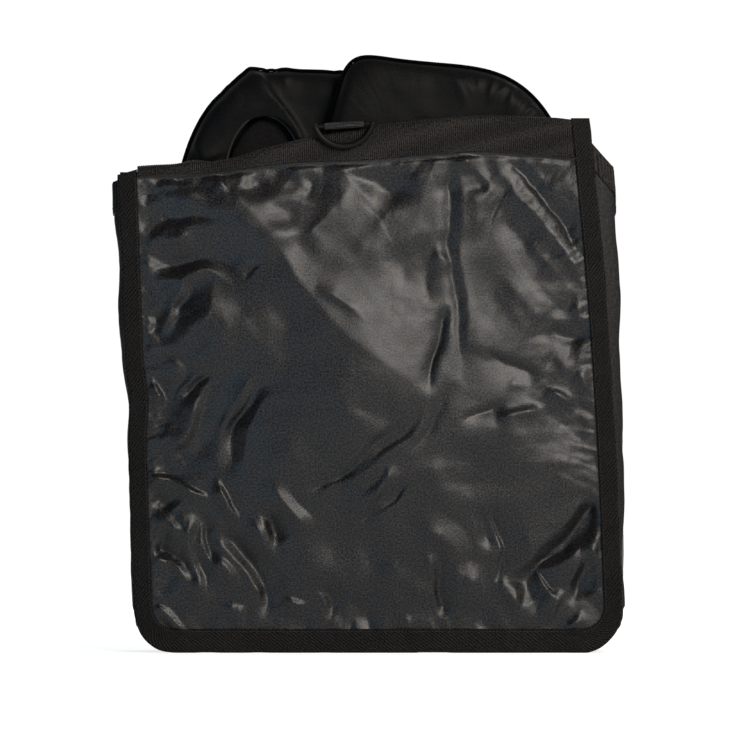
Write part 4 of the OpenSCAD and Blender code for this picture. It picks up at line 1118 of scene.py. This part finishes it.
# Folds of the goals' front skins, in the same form as the panel's
LEFT_FOLDS = [
    (4.4, 2, 16, 0.6, 3, 20,   -117, 590, -99, 562, -83, 540, -70, 517, -62, 480),
    (1.6, 1.6, 5, 0.6, 25, 25,   -123, 577, -102, 560, -87, 547),
    (4.2, 12, 3, 0.7, 10, 10,   -185, 530, -175, 508, -166, 488),
    (2, 3, 3, 1, 5, 40,   -84, 582, -86, 575, -89, 570),
    (-2, 12, 12, 3, 25, 25,   -60, 588, -66, 560, -62, 530),
    (2.5, 10, 10, 3, 25, 25,   -175, 545, -150, 552, -130, 545, -110, 548, -92, 540),
    (1.5, 5, 5, 1.5, 25, 25,   -150, 585, -138, 566, -132, 548),
]
RIGHT_FOLDS = [
    (2.2, 2.5, 3.5, 0.8, 10, 30,   83, 583, 92, 562, 101, 545),
    (1.8, 2.5, 3, 0.8, 10, 30,   92, 580, 100, 567, 106, 556),
    (2, 2.5, 3, 0.8, 10, 30,   127, 580, 122, 565, 117, 549),
    (2.2, 3, 3, 0.8, 10, 30,   142, 574, 130, 561, 118, 549),
    (2, 2.5, 3, 0.8, 10, 30,   146, 572, 143, 558, 140, 541),
    (2, 2.5, 3, 0.8, 10, 30,   165, 549, 158, 543, 152, 537),
    (2, 2.5, 2.5, 0.8, 10, 30,   167, 549, 167, 543, 166, 536),
    (1.8, 2.5, 3, 0.8, 25, 25,   155, 560, 150, 550, 146, 540),
    (1.4, 3, 3, 1, 25, 25,   110, 585, 109, 572, 106, 560),
    (1.2, 4, 4, 1.2, 25, 25,   70, 590, 74, 572, 80, 556),
    (3, 6, 14, 2, 25, 25,   -18, 590, -22, 565, -30, 535, -40, 500),
    (-1.2, 18, 18, 5, 25, 25,   30, 596, 26, 570, 20, 540),
]


SKIN_STEPS = np.array([0, 1.0, 2.5, 4.5, 7, 10, 13.5, 17.5, 22, 26])
FLAT_IN = 60.0     # a distance in from the rim at which a skin or net is flat
SKIN_LIFT, SKIN_LEAST = (-2.2, 5.5), 0.25


def add_skin(goal, face, folds, seed, hole):
    """A goal's skin: rounded down to its rim, flat over the bundle, and wrinkled across the lobe."""
    fine = face < 0
    a = rim_angles(460 if fine else 150)
    t = np.radians(a)
    if hole:
        cx, cz, half_w, half_h = hole
        target = np.stack([cx + half_w * np.cos(t), cz + half_h * np.sin(t)], -1)
        shares = np.linspace(0, 1, 40)[1:]
    else:
        target = goal.middle(60)
        shares = np.linspace(0, 1, 34 if fine else 10)[1:-1] ** 1.05
    flat = rings_to(goal, a, SKIN_STEPS, target, shares)
    x, z = flat[..., 0], flat[..., 1]
    inward = np.concatenate([SKIN_STEPS, np.full(len(shares), FLAT_IN)])[:, None]
    round_off = np.sqrt(1 - (1 - np.clip(inward / RIM_ROUND, 0, 1)) ** 2)
    around = t[None] * 240
    radial = noise(around, inward * 0.05, 6.0, seed) + 0.7 * noise(around, inward * 0.05, 13.0, seed + 1)
    gather = 0.22 * radial * smooth(inward / 6) * np.exp(-np.clip(inward - 6, 0, None) / 22)
    broad = 1.2 * noise(x, z, 46.0, seed + 2) + 0.5 * noise(x + z, z - x, 21.0, seed + 3)
    shape = fold_all(x, z, folds, 0.15) * smooth(inward / 5) + gather + broad * smooth(inward / 24)
    if hole:
        shape = shape * np.concatenate([np.ones(len(SKIN_STEPS)), smooth((1 - shares) / 0.05)])[:, None]
    out = np.maximum(SKIN_IN * round_off + np.clip(shape, *SKIN_LIFT), SKIN_LEAST)
    mid = np.stack([x, goal.y + face * (0.1 + out), z], -1)
    n = normals_of(mid, wrap=True)
    n = n * np.where(n[..., 1:2] * face < 0, -1, 1)
    outer, inner = mid + n * SKIN_T / 2, mid - n * SKIN_T / 2
    inner[..., 1] = goal.y + face * np.maximum((inner[..., 1] - goal.y) * face, 0.06)
    uv = np.stack([x + UV_SHIFT, z], -1)
    name = f"{goal.name}_{'front' if face < 0 else 'back'}_skin_cloth"
    if hole:
        return thick_sheet(name, outer, inner, uv, wrap=True, flip=face < 0)
    return closed_disc(name, outer, inner, uv, flip=face < 0)


def add_piping(goal, sides=10):
    """Piping sewn round the rim: a closed tube."""
    a = rim_angles(460)
    p = inset(goal, a, np.full(len(a), -PIPING_OUT))
    path = np.stack([p[:, 0], np.full(len(a), goal.y), p[:, 1]], -1)
    j = np.arange(sides)
    k, last = (j + 1) % sides, (len(a) - 1) * sides
    faces = np.concatenate([grid_faces(len(a), sides, True), np.stack([last + j, last + k, k, j], -1)])
    return add_mesh(f"{goal.name}_piping_tape", tube_points(path, PIPING_R, sides, closed=True), faces,
                    grid_of(run_along(path), np.linspace(0, 10, sides)))


# The hoop's rod: its turns, and half the width and half the depth of their bundle
TURNS = 3
SPREAD_R, SPREAD_Y = 8.0, 8.4
SLEEVE_R, SLEEVE_IN, SLEEVE_SIDES, SLEEVE_GIRTH = 4.6, 1.2, 12, 29


def strand(goal, s):
    """Point on the hoop's rod after an angle s, on a bundle of turns that is twisted once."""
    phase = np.radians(s / TURNS)
    p = inset(goal, 270 + s, RIM_ROUND - SPREAD_R * np.cos(phase))
    return np.stack([p[..., 0], goal.y + SPREAD_Y * np.sin(phase), p[..., 1]], -1)


def add_sleeve(goal, seed):
    """Gathered fabric sleeve round the hoop's rod, open where the ferrule joins the rod's ends."""
    path = strand(goal, np.linspace(12.0, TURNS * 360 + 3, TURNS * 130))
    run = run_along(path)
    gathers = 0.25 * (noise(run, 0 * run, 6.0, seed) - 1)
    outer, inner = (tube_points(path, SLEEVE_R + r, SLEEVE_SIDES) for r in (gathers, -SLEEVE_IN))
    uv = grid_of(run, np.linspace(0, SLEEVE_GIRTH, SLEEVE_SIDES))
    return thick_sheet(f"{goal.name}_sleeve_gathered", outer, inner, uv, wrap=True)


NET_STEPS = np.array([42, 44, 48, 56, 70, 90])
NET_HALF = 13.0


def add_net(goal, recess, seed):
    """Folded net between the skins: a soft pad with slack folds, set back at the front by recess."""
    shares = np.linspace(0, 1, 24)[1:-1]
    flat = rings_to(goal, rim_angles(180), NET_STEPS, goal.middle(30), shares)
    x, z = flat[..., 0], flat[..., 1]
    depth = np.concatenate([NET_STEPS - NET_STEPS[0], np.full(len(shares), FLAT_IN)])[:, None]
    full = lerp(0.5, 1.0, smooth(depth / 6))
    slack = np.abs(noise(x + 0.5 * z, z, 26.0, seed)) * 1.6 + 0.3 * noise(x, z, 7.0, seed + 1)
    front = goal.y - ((NET_HALF - recess) * full - slack * (0.3 if recess else 1.0))
    back = goal.y + (NET_HALF * full - slack)
    outer, inner = (np.stack([x, y, z], -1) for y in (front, back))
    return closed_disc(f"{goal.name}_net_folded", outer, inner, np.stack([x + UV_SHIFT, z], -1), flip=True)


# Section of the opening's rolled tape: how far each point lies out from the opening's edge, and over the skin
ROLL_GROW = (2.6, 2.3, 1.7, 1.0, 0.3, -0.2)
ROLL_LIFT = (0.0, 0.5, 0.9, 0.9, 0.5, 0.0)


def add_opening_tape(goal):
    """Narrow rolled tape round the opening in the left goal's front skin."""
    cx, cz, half_w, half_h = HOLE
    t = np.linspace(0, 2 * np.pi, 240, endpoint=False)
    around = t * 50
    grow, lift = np.array(ROLL_GROW)[:, None], np.array(ROLL_LIFT)[:, None]
    wide = grow + 0.35 * noise(around, 0 * around, 9.0, 71)
    x, z = cx + (half_w + wide) * np.cos(t), cz + (half_h + wide) * np.sin(t)
    base = goal.y - SKIN_IN - SKIN_T - 0.1
    outer, inner = (np.stack([x, y + 0 * x, z], -1) for y in (base - lift, base + 0.1))
    uv = np.stack(np.broadcast_arrays(around, grow), -1)
    return thick_sheet(f"{goal.name}_opening_tape_sewn", outer, inner, uv, wrap=True, flip=True)


PEG_TABS = (17, 19, 29, 31)     # their places on the rim, of 32
PEG_TAB_L, PEG_TAB_HALF = 11.0, 11.0


def add_peg_tabs(goal):
    """Short webbing loops, pressed flat, at four places on the rim."""
    rows, cols = 11, 23
    vv, uu = np.moveaxis(grid_of(np.linspace(0, 1, rows), np.linspace(-1, 1, cols)), -1, 0)
    corner = np.clip((vv - 0.72) / 0.28, 0, 1)
    across = uu * PEG_TAB_HALF * (1 - 0.22 * (1 - np.sqrt(1 - corner**2)))
    along = vv * PEG_TAB_L
    bow = np.sqrt(np.clip(1 - vv**6, 0, 1)) * (0.94 + 0.06 * np.cos(uu * 22))
    edge = np.concatenate([np.arange(cols), np.arange(1, rows) * cols + cols - 1,
                           np.arange(cols - 2, -1, -1) + (rows - 1) * cols, np.arange(rows - 2, 0, -1) * cols])
    n, after = rows * cols, np.roll(edge, -1)
    one = np.concatenate([grid_faces(rows, cols)[:, ::-1], grid_faces(rows, cols, start=n),
                          np.stack([edge, after, n + after, n + edge], -1)[:, ::-1]])
    points = []
    for place in PEG_TABS:
        a = 360 * place / 32
        out = rim_out(goal, a)
        foot = rim(goal, a) + (PIPING_OUT + PIPING_R + 0.3) * out
        x, z = foot[0] - out[1] * across + out[0] * along, foot[1] + out[0] * across + out[1] * along
        points += [np.stack([x, goal.y + side * bow, z], -1) for side in (-1, 1)]
    faces = np.concatenate([one + 2 * n * k for k in range(len(PEG_TABS))])
    uv = [np.stack([across + 20, along], -1)] * len(points)
    return add_mesh(f"{goal.name}_peg_tabs_webbing", points, faces, uv)


# ---- D-ring tab ----

BAR_X, BAR_Y, BAR_Z = -26.0, -53.5, 527.63
BAR_SLOPE = 3.8
BAR_R, TAB_HALF_T, TAB_HALF_W = 2.2, 0.75, 19.6
TAB_T = 1.1


def add_ring_tab():
    """Webbing round the ring's bar that runs over the hem and down its inside."""
    low, high = (np.array(c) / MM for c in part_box("d_ring_tab"))
    inside = high[1] - 1.3
    foot = low[2] + 1.2
    eye = BAR_R + TAB_HALF_T
    arc = np.radians(np.linspace(340, 20, 28))
    loop = np.stack([BAR_Y + eye * np.cos(arc), BAR_Z + eye * np.sin(arc)], -1)
    start, over, under = loop[0][0] + 4, BAR_Z + TAB_HALF_T, BAR_Z - TAB_HALF_T
    upper = [(start, over), (inside - 6, over), (inside - 2.2, BAR_Z + 0.1), (inside - 0.2, BAR_Z - 2.2),
             (inside + 0.1, BAR_Z - 6), (inside + 0.1, foot)]
    lower = [(inside - 1.3, foot), (inside - 1.3, BAR_Z - 6), (inside - 1.6, BAR_Z - 3.0),
             (inside - 2.8, BAR_Z - 1.4), (inside - 6, under), (start, under)]
    path = np.concatenate([curve_through(lower, 5), loop, curve_through(upper, 5)])
    u = np.linspace(-1, 1, 41)
    across = TAB_HALF_W * u + 0 * path[:, :1]
    mid = np.stack([BAR_X + across, path[:, :1] + 0 * across,
                    path[:, 1:] + math.tan(math.radians(BAR_SLOPE)) * across], -1)
    n = normals_of(mid)
    weave = 0.06 * np.cos(u * 60)[:, None]
    return thick_sheet("d_ring_tab_webbing", mid + n * (TAB_T / 2 + weave), mid - n * TAB_T / 2,
                       grid_of(run_along(path), TAB_HALF_W * u))


# ---- Studio ----

def add_studio():
    scene = bpy.context.scene
    scene.view_settings.view_transform = "Standard"
    add_world(scene)
    add_floor()
    add_softbox("key", (27, 25), 2600, (1150, 870), 28.0, (1.0, 0.90, 0.83))
    add_softbox("side", (64, 12), 2400, (700, 900), 3.8, (1.0, 0.90, 0.80))
    add_softbox("cool", (-34, 0), 2300, (760, 800), 3.3, (0.36, 0.70, 1.0))
    add_softbox("back", (160, 35), 2600, (1900, 1200), 3.0, (1.0, 1.0, 1.0))


def across_y(n, where):
    """How far a place lies towards the back."""
    return n.add("SeparateXYZ", {0: n.add("TexCoord", {})[where]})["Y"]


def add_world(scene):
    """Pale room behind the bag that falls off to a dim one in front of it."""
    scene.world = bpy.data.worlds.new("studio")
    n = Nodes(scene.world, "Background")
    dim_to_pale = n.level(across_y(n, "Generated"), 0.04, 0.8, -0.2, 0.25, interpolation_type="SMOOTHSTEP")
    n.shade(Strength=dim_to_pale, Color=(0.88, 0.95, 1, 1))


FLOOR_HALF, BACKDROP_Y, BACKDROP_R, BACKDROP_H = 12000.0, 9500.0, 900.0, 5000.0


def add_floor():
    """Pale floor that turns up into a backdrop behind the bag."""
    turn = np.linspace(0, np.pi / 2, 16)
    y = np.concatenate([[-FLOOR_HALF], BACKDROP_Y + BACKDROP_R * np.sin(turn), [BACKDROP_Y + BACKDROP_R]])
    z = np.concatenate([[0], BACKDROP_R * (1 - np.cos(turn)), [BACKDROP_H]])
    x = np.linspace(-FLOOR_HALF, FLOOR_HALF, 9)
    points = np.stack(np.broadcast_arrays(x, y[:, None], z[:, None]), -1)
    floor = add_mesh("floor", points, grid_faces(len(y), len(x)))
    material, n = new_material("pale_floor")
    rays = n.add("LightPath", {})
    seen = n.maths("MAXIMUM", n.maths("MAXIMUM", rays["Is Camera Ray"], rays["Is Glossy Ray"]),
                   rays["Is Transmission Ray"])
    glow = n.level(across_y(n, "Object"), 0.78, 1.0, 0.0, 1.5)
    n.shade(Base_Color=(0.32, 0.32, 0.32, 1), Roughness=0.9, Specular_IOR_Level=0.1,
            Emission_Color=(1, 1, 1, 1), Emission_Strength=n.maths("MULTIPLY", seen, glow))
    floor.data.materials.append(material)
    return floor


AIM = Vector((0, -40, 290))


def add_softbox(name, bearing, distance, size, radiance, colour):
    """Soft rectangular light aimed at the bag. bearing is (azimuth, elevation) in degrees from the front."""
    azimuth, elevation = (math.radians(a) for a in bearing)
    light = bpy.data.lights.new(name, "AREA")
    light.shape = "RECTANGLE"
    light.size, light.size_y = size[0] * MM, size[1] * MM
    light.energy = radiance * math.pi * light.size * light.size_y
    light.color = colour
    obj = bpy.data.objects.new(name, light)
    bpy.context.scene.collection.objects.link(obj)
    level = math.cos(elevation)
    way = Vector((math.sin(azimuth) * level, -math.cos(azimuth) * level, math.sin(elevation)))
    obj.location = (AIM + way * distance) * MM
    obj.rotation_euler = way.to_track_quat("Z", "Y").to_euler()


# ---- Build ----

def dress(obj, slot, material=None):
    obj.data.materials.clear()
    obj.data.materials.append(MATERIALS[material or slot])


def seat(obj, body, slot, node=None, material=None):
    """Gives a piece its material and its body, and hides the node that it stands for."""
    dress(obj, slot, material)
    if node:
        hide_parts(node)
    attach(obj, body)
    return obj


def declare(obj, width=None):
    """Works out, for a sheet without a width, the corners of its box in x and z, and keeps nothing. width is
    what a tape is cut to, in mm; other cuts fill a box.
    """
    if width:
        return
    corners = [[f(v.co[k] for v in obj.data.vertices) for f in (min, max)] for k in (0, 2)]


def seat_tape(tape, threads, slot, node, held, width):
    """Seats a tape of the bag with its stitches."""
    seat(tape, "bag", slot, node)
    for thread in threads:
        seat(thread, "bag", slot, material="thread")
    declare(tape, width)


def mirrored(row):
    """A row of FRONT_FOLDS turned left to right and made shallower, for the back panel."""
    height, left, right, blunt, start, end, *crest = row
    return (height * 0.7, right, left, blunt, start, end, *(v * s for v, s in zip(crest, [-1, 1] * len(crest))))


FRONT_SEED, BACK_SEED = 11, 51
BACK_FOLDS = [mirrored(row) for row in FRONT_FOLDS[2::3]]

add_camera()
add_studio()

for side, face, folds, seed, step in (("front", -1, FRONT_FOLDS, FRONT_SEED, 1.7),
                                      ("back", 1, BACK_FOLDS, BACK_SEED, 3.0)):
    panel = seat(add_panel(f"{side}_panel_cloth", folds, seed, face, step), "bag", "bag_cloth", f"{side}_panel")
    declare(panel)
gusset = seat(add_gusset("gusset_cloth"), "bag", "gusset_cloth", "gusset")
declare(gusset, 146)

for side, face, seed, panel in (("front", -1, 61, (FRONT_FOLDS, FRONT_SEED)), ("back", 1, 65, ([], BACK_SEED))):
    seat_tape(*add_binding(f"{side}_binding_tape", face, seed, panel), "binding_tape", f"{side}_binding",
              "folded", 40)
    seat_tape(*add_hem_tape(f"{side}_hem_ribbed_tape", face, seed + 20), "ribbed_tape", f"{side}_hem_tape",
              "hung", HEM_W)
for side in ("left", "right"):
    seat_tape(*add_gusset_hem(f"gusset_hem_{side}_tape", side == "right"), "ribbed_tape", f"gusset_hem_{side}",
              "hung", GUSSET_HEM_W)
tab = seat(add_ring_tab(), "bag", "tab_webbing", "d_ring_tab")
declare(tab, 2 * TAB_HALF_W)

for goal, folds, hole, recess in ((LEFT, LEFT_FOLDS, HOLE, 9.0), (RIGHT, RIGHT_FOLDS, None, 0.0)):
    body = goal.name
    sleeve = seat(add_sleeve(goal, 91), body, "hoop_sleeve", f"{body}_sleeve")
    declare(sleeve, 2 * math.pi * SLEEVE_R)
    seat(add_net(goal, recess, 95), body, "goal_net", f"{body}_net")
    sewn_on = [seat(add_piping(goal), body, "goal_piping", f"{body}_piping"),
               seat(add_peg_tabs(goal), body, "tab_webbing", f"{body}_peg_tabs")]
    if hole:
        sewn_on.append(seat(add_opening_tape(goal), body, "opening_tape", f"{body}_opening_tape"))
    for face, side in ((-1, "front"), (1, "back")):
        own_folds, opening, pieces = (folds, hole, sewn_on) if face < 0 else ([], None, ())
        skin = add_skin(goal, face, own_folds, 81 + face, opening)
        seat(skin, body, "goal_cloth", f"{body}_{side}_skin")
        declare(skin)

for node, slot in (("d_ring", "ring_plastic"), ("left_goal_hoop", "hoop_rod"), ("right_goal_hoop", "hoop_rod"),
                   ("left_goal_ferrule", "ferrule_metal"), ("right_goal_ferrule", "ferrule_metal")):
    dress(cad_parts[node], slot)
